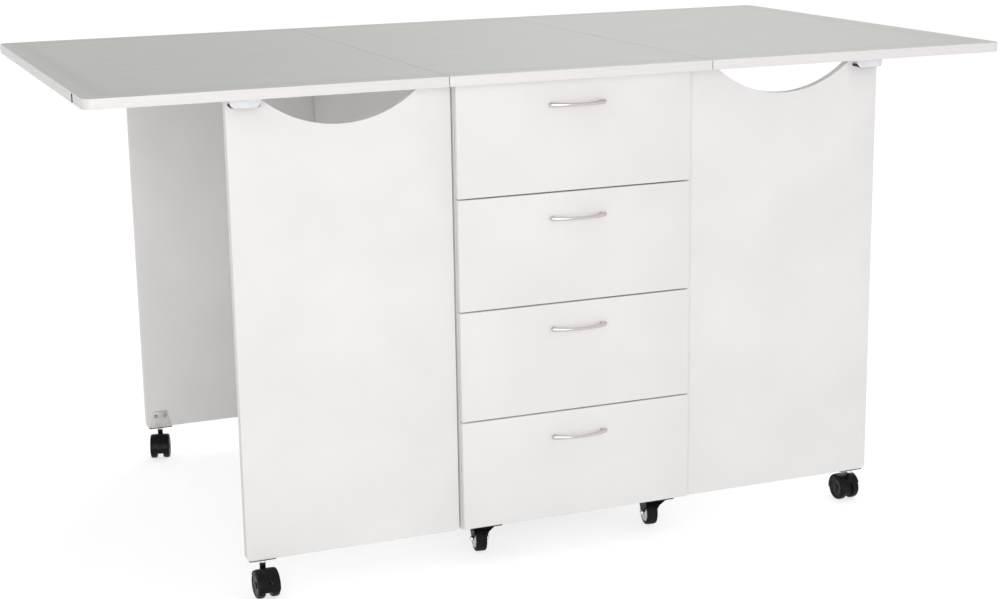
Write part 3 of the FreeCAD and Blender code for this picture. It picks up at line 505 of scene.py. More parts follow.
def rubber_tread(add, place):
    """Moulded thermoplastic rubber: grey-black and dull, with floor dust in its fine pores."""
    dust = add(
        "ShaderNodeTexNoise", {"Vector": place, "Scale": per(4), "Detail": 6.0, "Roughness": 0.65}
    )
    color = add(
        "ShaderNodeValToRGB",
        {"Fac": dust},
        stops=[(0.4, "#101012"), (0.65, "#18181b"), (0.8, "#262629")],
    )
    pores = add("ShaderNodeTexNoise", {"Vector": place, "Scale": per(0.6), "Detail": 3.0})
    dullness = add("ShaderNodeMapRange", {0: dust, 1: 0.3, 2: 0.75, 3: 0.55, 4: 0.75})
    skin = add("ShaderNodeBump", {"Height": pores, "Distance": 0.06 * MM, "Strength": 0.6})
    return add(
        "ShaderNodeBsdfPrincipled",
        {"Base Color": color, "Roughness": dullness, "Specular IOR Level": 0.16, "Normal": skin},
    )


def white_polypropylene(add, place):
    """Moulded polypropylene of the leaf stops: a cool milky white with a fine mould texture."""
    cloud = add("ShaderNodeTexNoise", {"Vector": place, "Scale": per(12), "Detail": 3.0})
    color = add("ShaderNodeValToRGB", {"Fac": cloud}, stops=[(0.3, "#e4e5ea"), (0.7, "#edeef2")])
    gloss = add("ShaderNodeMapRange", {0: cloud, 1: 0.3, 2: 0.7, 3: 0.3, 4: 0.4})
    grain = add("ShaderNodeTexNoise", {"Vector": place, "Scale": per(0.5), "Detail": 2.0})
    skin = add("ShaderNodeBump", {"Height": grain, "Distance": 0.03 * MM, "Strength": 0.4})
    return add(
        "ShaderNodeBsdfPrincipled", {"Base Color": color, "Roughness": gloss, "Normal": skin}
    )


def white_nylon(add, place):
    """Moulded nylon of the wheel cores: bright white, with a soft gloss and a little grime."""
    grime_and_shade_mottle = add("ShaderNodeTexNoise", {"Vector": place, "Scale": per(5), "Detail": 5.0})
    color = add("ShaderNodeValToRGB", {"Fac": grime_and_shade_mottle}, stops=[(0.25, "#e2e1df"), (0.5, "#f4f4f3")])
    gloss = add("ShaderNodeMapRange", {0: grime_and_shade_mottle, 1: 0.3, 2: 0.7, 3: 0.4, 4: 0.3})
    grain = add("ShaderNodeTexNoise", {"Vector": place, "Scale": per(0.5), "Detail": 2.0})
    skin = add("ShaderNodeBump", {"Height": grain, "Distance": 0.03 * MM, "Strength": 0.4})
    return add(
        "ShaderNodeBsdfPrincipled", {"Base Color": color, "Roughness": gloss, "Normal": skin}
    )


def painted_shade_rubber(add, place):
    """Painted shade: dull dark rubber, bloomed a little grey, that fills the hollow between a
    stop's walls where shade falls.
    """
    bloom = add("ShaderNodeTexNoise", {"Vector": place, "Scale": per(3), "Detail": 4.0})
    color = add("ShaderNodeValToRGB", {"Fac": bloom}, stops=[(0.35, "#252527"), (0.7, "#39393c")])
    skin = add("ShaderNodeBump", {"Height": bloom, "Distance": 0.05 * MM, "Strength": 0.5})
    return add("ShaderNodeBsdfPrincipled", {"Base Color": color, "Roughness": 0.8, "Normal": skin})


def painted_shade_steel(add, place):
    """Painted shade: dark, dull steel put where shade falls, in a screw's recess, round its head
    and on a sheet's cut edge, mottled a little.
    """
    grime_and_shade_mottle = add("ShaderNodeTexNoise", {"Vector": place, "Scale": per(0.5), "Detail": 2.0})
    color = add("ShaderNodeValToRGB", {"Fac": grime_and_shade_mottle}, stops=[(0.3, "#2c2c2e"), (0.7, "#3a3a3c")])
    return add("ShaderNodeBsdfPrincipled", {"Base Color": color, "Metallic": 1.0, "Roughness": 0.7})


LAMINATE = finish(grey_laminate, "grey_laminate")
MELAMINE = finish(white_melamine, "white_board")
EDGING = finish(white_edging, "white_board")
CHIPBOARD = finish(bare_chipboard, "white_board")
HARDBOARD = finish(lacquered_hardboard, "white_board")
NICKEL = finish(satin_nickel, "satin_nickel")
ZINC = finish(zinc_plated_steel, "zinc_plated_steel")
STEEL = finish(bright_steel, "zinc_plated_steel")
NYLON = finish(black_nylon, "black_plastic")
ENAMEL = finish(black_powder_coat, "black_steel")
TREAD = finish(rubber_tread, "black_rubber")
STOP_WHITE = finish(white_polypropylene, "white_plastic")
CORE_WHITE = finish(white_nylon, "white_plastic")
# dark rubber that paints the shade in the stops' hollows
SHADE_FILL = finish(painted_shade_rubber, "black_rubber")
# dark steel that paints the shade in recesses, round screw heads and on cut edges
PAINTED_SHADE_STEEL = finish(painted_shade_steel, "zinc_plated_steel")


def dress(obj, material, other=None, where=None):
    """Give a piece its material, and another one to the faces for which where is true."""
    obj.data.materials.clear()
    obj.data.materials.append(material)
    if other:
        obj.data.materials.append(other)
    for face in obj.data.polygons:
        face.material_index = 1 if other and where(face) else 0
    return obj


def fit(obj, body, *nodes):
    """Let a dressed piece ride on its body, and stand for the CAD nodes named."""
    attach(obj, body)
    if nodes:
        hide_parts(*nodes)
    return obj


# Hardware that keeps its CAD shape


def eased_copy(node, width, segments=2):
    """A merged copy of a CAD node with every sharp edge rounded."""
    piece = copied(frame["nodes"][node], f"{node}_eased")
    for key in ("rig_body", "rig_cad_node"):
        del piece[key]
    piece.parent = None
    with editing(piece):
        bpy.ops.mesh.remove_doubles(threshold=0.01 * MM)
        bpy.ops.mesh.dissolve_limited(angle_limit=math.radians(1))
    return ease(piece, width, segments, 40)


def near(points, reach):
    """Whether a face's middle is within reach of one of the (x, y) points, seen from above."""
    return lambda face: any((face.center.xy / MM - point).length < reach for point in points)


def make_hinges_and_pins():
    for node, body in (
        ("leaf_hinges_fixed", "cabinet"),
        ("leaf_hinges_left", "leaf_left"),
        ("leaf_hinges_right", "leaf_right"),
        ("gate_hinges_fixed", "cabinet"),
        *((f"gate_hinges_{place}", f"gate_{place}") for place in PLACES),
    ):
        fit(dress(eased_copy(node, 0.2), ZINC), body, node)
    fit(dress(eased_copy("shelf_pins", 0.3), STEEL), "cabinet", "shelf_pins")
    fit(dress(eased_copy("runner_tracks", 0.15, 1), ZINC), "cabinet", "runner_tracks")


# Screws


def cross_head(name, radius, rise, finish):
    """A domed screw head on the plane z = 0 with a cross recess."""
    dome = [(0.35 * rise, radius), (0.8 * rise, 0.8 * radius), (rise, 0.45 * radius)]
    head = lathe(name, [(-0.2, radius)] + dome, 24)
    arm, width, depth = 0.55 * radius, 0.14 * radius, 0.7 * rise
    bars = [
        block("recess", (-arm, -width, rise - depth), (arm, width, rise + 1)),
        block("recess", (-width, -arm, rise - depth), (width, arm, rise + 1)),
    ]
    cut_away(head, *bars)
    # the recess's floor is dressed in painted shade
    floor_z = (rise - depth + 0.05) * MM
    dress(head, finish, PAINTED_SHADE_STEEL, lambda face: face.center.z < floor_z and face.normal.z > 0.5)
    return smooth(head, 30)


# The top

BAND = 1  # thickness of the edge band
LEAF_CORNER = 20
JOINT_FROM_CORNER = 96  # from the leaf's front edge to the notch where the band's two ends meet
JOINT_WIDTH = 12
JOINT_DEPTH = 3
JOINT_DROP = 2  # from the top to the notch
JOINT_GRIME = 0.5  # by which bare board shows past the notch


def top_board(name, body, side=0):
    """One board of the top: its core with the laminate, and the white band round its free edges. A
    leaf has its side, and round corners at its outer end."""
    low, high = node_box(name)
    outer = (low if side < 0 else high).x
    band_low = Vector((BAND if side < 0 else 0, BAND, 0))
    band_high = Vector((BAND if side > 0 else 0, BAND, 0))

    def at_outer_end(middle):
        return side and abs(middle.x - outer) < 2 * BAND

    joint_y = low.y + JOINT_FROM_CORNER

    def notch(board):
        """Cut the joint's notch into the end of a leaf."""
        start = (outer - JOINT_DEPTH, joint_y, low.z - 1)
        end = (outer + JOINT_DEPTH, joint_y + JOINT_WIDTH, high.z - JOINT_DROP)
        cut_away(board, block("notch", start, end))

    core = block(f"{name}_core", low + band_low, high - band_high)
    round_corners(core, LEAF_CORNER - BAND, 2, at_outer_end, 16)
    if side:
        notch(core)
    ease(core, 0.25, 1)

    def at_seam(face):
        return abs(face.normal.x) > 0.9 and not at_outer_end(face.center / MM)

    core.data.materials.clear()
    for material in (LAMINATE, MELAMINE, EDGING, CHIPBOARD):
        core.data.materials.append(material)
    for face in core.data.polygons:
        on_face = 0 if face.normal.z > 0.3 else 1
        on_edge = 2 if at_seam(face) else 3
        face.material_index = on_face if abs(face.normal.z) > 0.3 else on_edge
    fit(core, body, name)

    band = block(f"{name}_edge_band", low, high)
    round_corners(band, LEAF_CORNER, 2, at_outer_end, 16)
    with editing(band, "FACE", lambda face: abs(face.normal.z) > 0.5 or at_seam(face)):
        bpy.ops.mesh.delete(type="FACE")
    modify(band, "SOLIDIFY", thickness=BAND * MM, offset=-1, use_even_offset=True)
    if side:
        notch(band)
    ease(band, 0.3, 2)
    joint_middle, reach = joint_y + JOINT_WIDTH / 2, JOINT_WIDTH / 2 + JOINT_GRIME
    dress(band, EDGING, CHIPBOARD, lambda face: abs(face.center.y / MM - joint_middle) < reach)
    fit(band, body)


def make_top():
    top_board("centre_top", "cabinet")
    for side_name, side in SIDES.items():
        top_board(f"leaf_{side_name}", f"leaf_{side_name}", side)


# A stop's own frame has the middle of its length and the leaf's underside at the origin, and the
# lip's outer face at y = 0.

STOP_LENGTH = 56
STOP_HEIGHT = 18
STOP_LIP = 24
STOP_WALL = 3.5
STOP_CORNER = 12
STOP_OVERLAP = 0.2  # of pieces that are let into the walls
STOP_FRONT_INSET = 0.6  # of the front wall's ends inside the back wall's
# a dark fill between the stop's walls is painted shade for their hollow
SHADE_FILL_INSET = 1.2
SHADE_FILL_BASE = 0.8 - STOP_HEIGHT
SHADE_FILL_TOP = -11.5
FILLER_INSET = 4
PAD_INSET = 1
PAD_BASE = -5.9
PAD_END = STOP_LIP + 20


def bowl_slice(name, inset, base, top, front, back):
    """A slice of the stop's bowl between two heights and two planes along Y, its ends drawn in by
    inset."""
    half = STOP_LENGTH / 2 - inset
    piece = block(name, (-half, front, base), (half, back, top))
    radius = min(STOP_CORNER, top - base) - inset
    return round_corners(piece, radius, 1, lambda middle: middle.z < base + 1, 12)


def leaf_stop():
    """A bowl-shaped lip in two walls, a dark fill between them that is painted shade for the hollow
    there, and a pad over the gate.
    """
    inner, outer = STOP_WALL - STOP_OVERLAP, STOP_LIP - STOP_WALL + STOP_OVERLAP
    walls = [
        ease(bowl_slice("stop_wall", STOP_FRONT_INSET, -STOP_HEIGHT, 0, 0, STOP_WALL), 1.4, 4),
        ease(bowl_slice("stop_wall", 0, -STOP_HEIGHT, 0, STOP_LIP - STOP_WALL, STOP_LIP), 0.4),
    ]
    filler_half, pad_half = STOP_LENGTH / 2 - FILLER_INSET, STOP_LENGTH / 2 - PAD_INSET
    filler = block("stop_filler", (-filler_half, inner, SHADE_FILL_TOP - 0.5), (filler_half, outer, 0))
    pad = block("stop_pad", (-pad_half, STOP_WALL / 2, PAD_BASE), (pad_half, PAD_END, 0))
    white = dress(joined("leaf_stop", *walls, ease(filler, 0.4), ease(pad, 0.8, 3)), STOP_WHITE)
    buffer = bowl_slice("stop_shade_fill", SHADE_FILL_INSET, SHADE_FILL_BASE, SHADE_FILL_TOP, inner, outer)
    return white, dress(smooth(buffer), SHADE_FILL)


def make_leaf_stops():
    white, buffer = leaf_stop()
    for side_name in SIDES:
        node = f"leaf_stops_{side_name}"
        low, high = node_box(node)
        middle = (low.x + high.x) / 2
        ends = [moved(middle, low.y, high.z), moved(middle, high.y, high.z) @ turned_by(180, "Z")]
        mouldings = [copied(white, "moulding", end) for end in ends]
        fit(joined(f"{node}_mouldings", *mouldings), f"leaf_{side_name}", node)
        shade_fills = [copied(buffer, "buffer", end) for end in ends]
        fit(joined(f"{node}_buffers", *shade_fills), f"leaf_{side_name}")
    discard(white, buffer)


# The boards of the cabinet


def banded(piece, thin_axis):
    """Melamine on a board's two faces, and edge band on its narrow sides."""
    return dress(piece, MELAMINE, EDGING, lambda face: abs(face.normal[thin_axis]) < 0.7)


def board(node, body, eased=0.6):
    """A board in its node's place, its edges eased."""
    low, high = node_box(node)
    size = high - low
    thin_axis = min((0, 1, 2), key=lambda axis: size[axis])
    piece = ease(block(f"{node}_board", low, high), eased, 3)
    return fit(banded(piece, thin_axis), body, node)


RAIL_WIDTH = 80
SHELF_THICKNESS = 16


def make_carcass():
    for node in ("side_left", "side_right", "bottom_panel", "divider_panel"):
        board(node, "cabinet")
    low, high = node_box("top_rails")
    rails = [
        block("rail", low, (high.x, low.y + RAIL_WIDTH, high.z)),
        block("rail", (low.x, high.y - RAIL_WIDTH, low.z), high),
    ]
    fit(banded(ease(joined("top_rail_boards", *rails), 0.6), 2), "cabinet", "top_rails")
    low, high = node_box("shelves")
    shelves = [
        block("shelf", low, (high.x, high.y, low.z + SHELF_THICKNESS)),
        block("shelf", (low.x, low.y, high.z - SHELF_THICKNESS), high),
    ]
    fit(banded(ease(joined("shelf_boards", *shelves), 0.6), 2), "cabinet", "shelves")


# The drawers

BOX_BOARD = 12
BOX_BOTTOM = 4
BOX_BOTTOM_RISE = 8  # of the bottom over the sides' lower edges
BOX_HALF = 203.5  # half the width over the sides, without the runners
BOX_TOP_ROUND = 2.5


def inner_runners(number):
    """The channels on the drawer box's sides, copied from the box's CAD node and eased."""
    piece = eased_copy(f"drawer_box_{number}", 0.15, 1)
    with editing(piece, "FACE", lambda face: abs(face.center.x) < (BOX_HALF + 0.02) * MM):
        bpy.ops.mesh.delete(type="FACE")
    piece.name = f"drawer_runners_{number}"
    return dress(recalculate(piece), ZINC)


def drawer_box(number):
    """Sides, back and bottom of a drawer, and the inner channels of its runners."""
    node = f"drawer_box_{number}"
    body = f"drawer_{number}"
    low, high = node_box(node)
    face_y = node_box(f"drawer_front_{number}")[1].y
    inner = BOX_HALF - BOX_BOARD
    floor_z = low.z + BOX_BOTTOM_RISE
    floor_top = floor_z + BOX_BOTTOM
    fit(inner_runners(number), body)
    boards = [
        block("box_side", (-BOX_HALF, face_y, low.z), (-inner, high.y, high.z)),
        block("box_side", (inner, face_y, low.z), (BOX_HALF, high.y, high.z)),
        block("box_back", (-inner, high.y - BOX_BOARD, floor_top), (inner, high.y, high.z)),
    ]
    boards = joined(f"{node}_boards", *boards)
    round_corners(boards, BOX_TOP_ROUND, 1, lambda middle: middle.z > high.z - 1, 4)
    ease(boards, 0.4)
    fit(dress(boards, MELAMINE, EDGING, lambda face: face.normal.z > 0.3), body, node)
    bottom = block(f"{node}_bottom", (-inner, face_y, floor_z), (inner, high.y - 1, floor_top))
    fit(dress(ease(bottom, 0.2, 1), HARDBOARD), body)


def make_drawers():
    for number in DRAWERS:
        board(f"drawer_front_{number}", f"drawer_{number}", 1.0)
        drawer_box(number)


# Handles. A handle's own frame has its middle at the origin, the bar along X and the drawer's
# front at y = 0, with the bar standing out towards -Y.

HANDLE_CENTRES = 96
HANDLE_PROJECTION = 26
BAR_HALF = 60.2  # half the bar's length before it is bowed
BAR_BOW = 70.7  # degrees that the bar turns through from end to end
BAR_WAIST = 2.8  # half the bar's height in its middle
BAR_FLARE = 1.7  # by which that grows at its ends
BAR_TIP = 5.2  # length over which an end rounds off
BAR_FLATNESS = 0.75  # thickness as a share of height
BAR_RINGS = 24
BAR_TIP_RINGS = (82, 70, 57, 43, 29, 15)  # degrees along a tip's rounding


def bar_profile():
    """Heights and radii of the straight bar: a slow flare, and a round tip at each end."""
    end = BAR_HALF - BAR_TIP
    body = [end - 2 * end * i / BAR_RINGS for i in range(BAR_RINGS + 1)]
    flare = [(z, BAR_WAIST + BAR_FLARE * (abs(z) / BAR_HALF) ** 2) for z in body]
    widest = flare[0][1]
    turns = [math.radians(degrees) for degrees in BAR_TIP_RINGS]
    tip = [(end + BAR_TIP * math.sin(turn), widest * math.cos(turn)) for turn in turns]
    return tip + flare + [(-z, radius) for z, radius in reversed(tip)]


def bow_handle(name):
    """A bar bowed outwards and flared to round ends, on two posts."""
    bar = lathe(name, bar_profile(), 24)
    bar.scale = (1, BAR_FLATNESS, 1)
    settle(bar)
    stand(bar, turned_by(90, "Y"))
    modify(bar, "SIMPLE_DEFORM", deform_method="BEND", deform_axis="Z", angle=math.radians(BAR_BOW))
    stand(bar, moved(0, BAR_WAIST * BAR_FLATNESS - HANDLE_PROJECTION))
    post = lathe("post", [(0, 3.2), (0.6, 3.2), (1.4, 2.7), (3.5, 2.4), (9, 2.4), (12, 2.6)], 32)
    stand(post, turned_by(90, "X"))
    posts = [copied(post, "post", moved(side * HANDLE_CENTRES / 2, 0)) for side in SIDES.values()]
    discard(post)
    return smooth(joined(name, bar, *posts), 40)


def make_handles():
    handle = dress(bow_handle("handle"), NICKEL)
    for number in DRAWERS:
        low, high = node_box(f"handle_{number}")
        face_y = node_box(f"drawer_front_{number}")[0].y
        piece = copied(handle, f"handle_{number}_bow", moved(0, face_y, (low.z + high.z) / 2))
        fit(piece, f"drawer_{number}", f"handle_{number}")
    discard(handle)


# The gates

ARCH_RADIUS = 216
ARCH_DEPTH = 52
GATE_CORNER = 8
ARCH_SIDES = 256


def make_gates():
    for place in PLACES:
        node = f"gate_{place}"
        low, high = node_box(node)
        panel = block(f"{node}_board", low, high)
        round_corners(panel, GATE_CORNER, 1, lambda middle: middle.z < low.z + 1)
        arch = rod("arch", ARCH_RADIUS, -30, 30, ARCH_SIDES)
        x, y = ((low + high) / 2).xy
        stand(arch, moved(x, y, high.z - ARCH_DEPTH + ARCH_RADIUS) @ turned_by(90, "X"))
        cut_away(panel, arch)
        fit(banded(ease(panel, 0.7, 3, 20), 1), node, node)


# A castor bracket's own frame has the stem along Z through the origin, the gate's lower edge at
# z = 0 and its inner face towards +Y.

BRACKET_WIDTH = 50
BRACKET_FOOT = 46
BRACKET_TOP = 32
BRACKET_HEIGHT = 36
BRACKET_SHEET = 2.5
SCREW_SPACING = 20
SCREW_DROP = 10
SCREW_HEAD = 3.2
SCREW_RISE = 1.5
SCREW_SHADOW_RADII = (2.8, 4.1)  # radii of the ring of painted shadow round a screw's head, partly under it
SHADOW_RING_HALF = 0.2
HALF_GATE = 9
NUT_RADIUS = 7.5
NUT_HEIGHT = 5
STEM_LENGTH = 27
BRACKET_FRONT_INSET = 2


def castor_bracket():
    """A pressed angle plate, with the nut and stem of the castor, and two screws in cross heads."""
    flange = block(
        "flange",
        (-BRACKET_WIDTH / 2, BRACKET_FRONT_INSET - HALF_GATE, -BRACKET_SHEET),
        (BRACKET_WIDTH / 2, HALF_GATE + BRACKET_SHEET, 0),
    )
    round_corners(flange, 3, 2, lambda middle: middle.y < 0, 5)
    plate = block(
        "plate",
        (-BRACKET_FOOT / 2, HALF_GATE, -BRACKET_SHEET / 2),
        (BRACKET_FOOT / 2, HALF_GATE + BRACKET_SHEET, BRACKET_HEIGHT),
    )
    top = (0, HALF_GATE * MM, BRACKET_HEIGHT * MM)
    with editing(plate, "FACE", lambda face: face.normal.z > 0.9):
        bpy.ops.transform.resize(value=(BRACKET_TOP / BRACKET_FOOT, 1, 1), center_override=top)
    round_corners(plate, 4, 1, lambda middle: middle.z > BRACKET_HEIGHT - 1, 5)
    # the sheet's cut edge gets painted shade: dark steel that stands for the shade on it
    dress(ease(flange, 0.5, 3), ZINC, PAINTED_SHADE_STEEL, lambda face: abs(face.normal.z) < 0.3)
    dress(ease(plate, 0.5, 3), ZINC)
    angle = joined("bracket_angle", plate, flange)
    nut = rod("nut", NUT_RADIUS, -BRACKET_SHEET - NUT_HEIGHT, -BRACKET_SHEET, 6)
    stem = lathe("stem", [(-STEM_LENGTH - BRACKET_SHEET, 4), (-1, 4)], 32)
    washer = lathe("washer", [(-BRACKET_SHEET - 0.9, 7.2), (-BRACKET_SHEET, 7.2)], 40)
    turned = joined("bracket_nut", ease(nut, 0.7, 3), ease(washer, 0.2), ease(stem, 0.4))
    dress(turned, STEEL)
    head = cross_head("bracket_screw", SCREW_HEAD, SCREW_RISE, ZINC)
    # a thin dark ring round each head is painted shadow
    ring = closed(both_ways([(-SHADOW_RING_HALF, radius) for radius in SCREW_SHADOW_RADII]))
    head = joined("bracket_screw", head, dress(lathe("painted_shadow_ring", ring, 24), PAINTED_SHADE_STEEL))
    screw_z = BRACKET_HEIGHT - SCREW_DROP
    heads = []
    for way in SIDES.values():
        place = moved(way * SCREW_SPACING / 2, HALF_GATE + BRACKET_SHEET, screw_z)
        turn = turned_by(-90, "X") @ turned_by(20 * way + 35, "Z")
        heads.append(copied(head, "screw", place @ turn))
    discard(head)
    return angle, turned, joined("bracket_screws", *heads)


def make_castor_brackets():
    pieces = castor_bracket()
    for place in PLACES:
        stem = joint_place(f"castor_swivel_{place}")
        low = node_box(f"gate_{place}")[0]
        spot = moved(stem.x, stem.y, low.z)
        if place.startswith("back"):
            spot = spot @ turned_by(180, "Z")
        replaced = [f"castor_bracket_{place}"]
        for piece in pieces:
            fit(copied(piece, f"{piece.name}_{place}", spot), f"gate_{place}", *replaced)
            replaced = []
    discard(*pieces)


# The gates' castors, in a frame whose Z is the swivel, from the floor up, with the trail along +X.

TRAIL = 17
WHEEL = 25
HOOD = 28
HOOD_BASE = 19
TWIN_HALF = 21
TWIN_GAP = 12
AXLE = 2.6
HOOD_END = 152  # degrees from the trail's direction, past which the hood leaves the treads open
HOOD_GAP = 0.6  # between tread and hood
WEB_HALF = 5.6
SPACER = 21  # radius of the disc between the wheels
PEG_HOLE = 2.2
PEG_HOLE_RISE = 20  # degrees over the axle's level
AXLE_PLACE = moved(TRAIL, 0, WHEEL)


def castor_spot(swivel, roll):
    """Where a castor stands and how it is turned, from its two joints."""
    stem, axle = joint_place(swivel), joint_place(roll)
    heading = math.degrees(math.atan2(axle.y - stem.y, axle.x - stem.x))
    return moved(stem.x, stem.y) @ turned_by(heading, "Z")


def twin_wheel(name, side):
    """One wheel: a tread with round shoulders, and a dished face with a rim line and a raised
    hub."""
    near_face = TWIN_GAP / 2
    shoulder = ((0, 4.5), (0.4, 2.6), (1.3, 1.2), (2.6, 0.35), (4.2, 0))
    profile = [(near_face + inset, WHEEL - drop) for inset, drop in shoulder]
    rim = ((4.5, 0), (2.6, 0.4), (1.3, 1.3), (0.5, 2.6), (0.1, 4.2))
    line = ((0.1, 5.2), (1.1, 5.8), (1.3, 6.8), (0.5, 7.6), (0.9, 10))
    profile += [(TWIN_HALF - inset, WHEEL - drop) for inset, drop in rim + line]
    hub = ((1.8, 9), (1.6, 7), (0.3, 6.2), (0, 5.2), (0, AXLE))
    profile += [(TWIN_HALF - inset, radius) for inset, radius in hub]
    profile = closed([(near_face, AXLE)] + profile)
    wheel = lathe(name, profile, 64)
    return stand(wheel, AXLE_PLACE @ turned_by(-90 * side, "X"))


def castor_hood(name):
    """A crowned shroud over both wheels with a peg hole in front, open below and under the stem, a
    web between the wheels, and a neck round the stem."""
    shoulder = TWIN_HALF - 1
    inner = WHEEL + HOOD_GAP
    side = [(-shoulder, inner), (-shoulder, inner + 0.6)]
    crown = ((0.5, 1.2), (2, 0.6), (3, 0.7), (3.5, 0.3), (9, 0))
    side += [(inset - shoulder, HOOD - drop) for inset, drop in crown]
    upright = AXLE_PLACE @ turned_by(90, "X")
    barrel = stand(lathe(name, closed(both_ways(side)), 96), upright)
    web = stand(rod("web", HOOD - 0.5, -WEB_HALF, WEB_HALF, 96), upright)
    for shell in (barrel, web):
        aim = AXLE_PLACE @ turned_by(90 - PEG_HOLE_RISE, "Y")
        cut_away(shell, stand(rod("peg_hole", PEG_HOLE, HOOD - 9, HOOD + 4, 24), aim))
        slice_off(shell, (0, 0, HOOD_BASE), (0, 0, -1))
        end = math.radians(HOOD_END)
        slice_off(shell, (TRAIL, 0, WHEEL), (-math.sin(end), 0, math.cos(end)))
        ease(shell, 0.35, 2, 50)
    spacer = stand(rod("spacer", SPACER, -WEB_HALF, WEB_HALF, 64), upright)
    ease(slice_off(spacer, (0, 0, HOOD_BASE - 6), (0, 0, -1)), 0.35, 2, 50)
    neck = lathe("neck", closed([(42, 4.1), (42, 5.7), (58.3, 5.5), (59, 4.9), (59, 4.1)]), 48)
    return smooth(joined(name, barrel, web, spacer, neck), 40)


def make_gate_castors():
    hood = dress(castor_hood("castor_hood"), NYLON)
    wheels = [twin_wheel("twin_wheel", side) for side in SIDES.values()]
    cap = lathe("axle_cap", both_ways([(-TWIN_HALF, 1.4), (0.5 - TWIN_HALF, 2.4)]), 24)
    dress(stand(cap, AXLE_PLACE @ turned_by(90, "X")), NYLON)
    pair = dress(joined("twin_wheels", *wheels), NYLON)
    for place in PLACES:
        spot = castor_spot(f"castor_swivel_{place}", f"castor_roll_{place}")
        shell = copied(hood, f"castor_hood_{place}_shell", spot)
        fit(shell, f"castor_{place}", f"castor_hood_{place}")
        rolling = copied(pair, f"castor_wheels_{place}_pair", spot)
        fit(rolling, f"castor_wheels_{place}", f"castor_wheels_{place}")
        fit(copied(cap, f"castor_wheels_{place}_axle", spot), f"castor_wheels_{place}")
    discard(hood, pair, cap)


# The cabinet's castors, in a frame like the gate castors'.

FORK_TRAIL = 22
FORK_WHEEL_HALF = 10.5
CORE = 18
PLATE_SCREWS = 21  # from the swivel, each way
PLATE_SCREW_REACH = 3.5
PLATE_SHEET = 4.02  # with a hair more, so that only the screws' heads lie below it
RACE_COVER = 24.5
RACE_BASE, RACE_TOP = 60.7, 63.5
FORK_INSIDE, FORK_OUTSIDE = 11.7, 14.2
FORK_TOP = 60.2
FORK_SHEET = 2.5
LEG_FOOT = 16  # height of a leg's lower end
LEG_FOLD = 44  # height from which a leg leans out
LEG_LEAN = 7  # by which its upper end stands out
LEG_CORNER = 4.6
CROWN_HALF = 21.2
KINGPIN_HOLE = 5.6
BOLT_HEAD = 5.5
BOLT_END = 19
PIVOT_RADIUS = 1.8
PIVOT_END = 19.6
ON_AXLE = moved(FORK_TRAIL, 0, WHEEL) @ turned_by(90, "X")
ON_PIVOT = moved(34.5, 0, 55) @ turned_by(90, "X")  # of a brake pedal


def fork_tread():
    """A moulded tyre: flat tread, round shoulders, and a fine groove on each side of it."""
    half = FORK_WHEEL_HALF
    shoulder = ((0, 3.2), (0.8, 1.2), (2.6, 0.1), (4.2, 0), (4.6, 0.6), (5.2, 0.6), (5.6, 0))
    side = [(-half, CORE)] + [(inset - half, WHEEL - drop) for inset, drop in shoulder]
    return stand(lathe("tread", closed(both_ways(side)), 72), ON_AXLE)


def fork_core():
    """The wheel's white core: a dished web and a raised hub on each side."""
    half = FORK_WHEEL_HALF
    hub = ((0, 3.2), (0, 6.3), (0.4, 6.8), (1.9, 7.4), (2.5, 8.8))
    rim = ((2.5, 13.6), (2.0, 15.2), (0.3, 16.3), (0, 16.9), (0, CORE - 0.02))
    side = [(half - inset, radius) for inset, radius in hub + rim]
    return stand(lathe("core", closed(both_ways(side)), 72), ON_AXLE)


def race_cover():
    """The pressed ring that covers the balls of the swivel."""
    foot = [(RACE_BASE, 6), (RACE_BASE, RACE_COVER - 0.9), (RACE_BASE + 0.9, RACE_COVER)]
    return lathe("race_cover", foot + [(RACE_TOP, RACE_COVER)])


def fork_leg():
    """A pressed leg: a foot tapered to the wheel's bolt and rounded, and an upper half that leans
    out to the crown."""
    leg = block("leg", (-17, FORK_INSIDE, LEG_FOOT), (39, FORK_OUTSIDE, FORK_TOP - 1))
    # planes that cut the block to the leg's outline, two on each side of the bolt
    for point, normal in (
        ((15, 0, 28), (-32.2, 0, -32)),
        ((15, 0, 28), (-12, 0, -2)),
        ((29, 0, 28), (12, 0, -2)),
        ((29, 0, 28), (22.5, 0, -10)),
    ):
        slice_off(leg, point, normal)
    round_corners(leg, LEG_CORNER, 1, lambda middle: middle.z < LEG_FOOT + 1)
    slice_off(leg, (0, 0, LEG_FOLD), (0, 0, 1), drop=False)
    with editing(leg, "FACE", lambda face: face.normal.z > 0.9):
        bpy.ops.transform.translate(value=(0, LEG_LEAN * MM, 0))
    return leg


def fork_frame():
    """Crown and legs in one pressing, with holes for the kingpin and the brake's pivot."""
    crown_z = FORK_TOP - FORK_SHEET
    crown = block("crown", (-19, -CROWN_HALF, crown_z), (FORK_TRAIL, CROWN_HALF, FORK_TOP))
    round_corners(crown, 9, 2)
    kingpin_hole = rod("hole", KINGPIN_HOLE, FORK_TOP - 5, FORK_TOP + 1, 40)
    cut_away(crown, kingpin_hole)
    leg = fork_leg()
    cut_away(leg, stand(rod("hole", PIVOT_RADIUS + 0.1, -30, 30, 24), ON_PIVOT))
    other_leg = recalculate(copied(leg, "leg", Matrix.Scale(-1, 4, (0, 1, 0))))
    pressings = [ease(piece, 0.6, 2, 20) for piece in (crown, leg, other_leg)]
    return joined("fork", *pressings)


def wheel_bolt():
    """The bolt through the wheel, domed at both ends."""
    end = [(BOLT_END, 1.6), (BOLT_END - 0.5, 3.2), (BOLT_END - 1.6, 4.7), (BOLT_END - 3, BOLT_HEAD)]
    end += [(FORK_OUTSIDE + 0.1, BOLT_HEAD), (FORK_OUTSIDE, 3)]
    return stand(lathe("wheel_bolt", both_ways(end), 40), ON_AXLE)


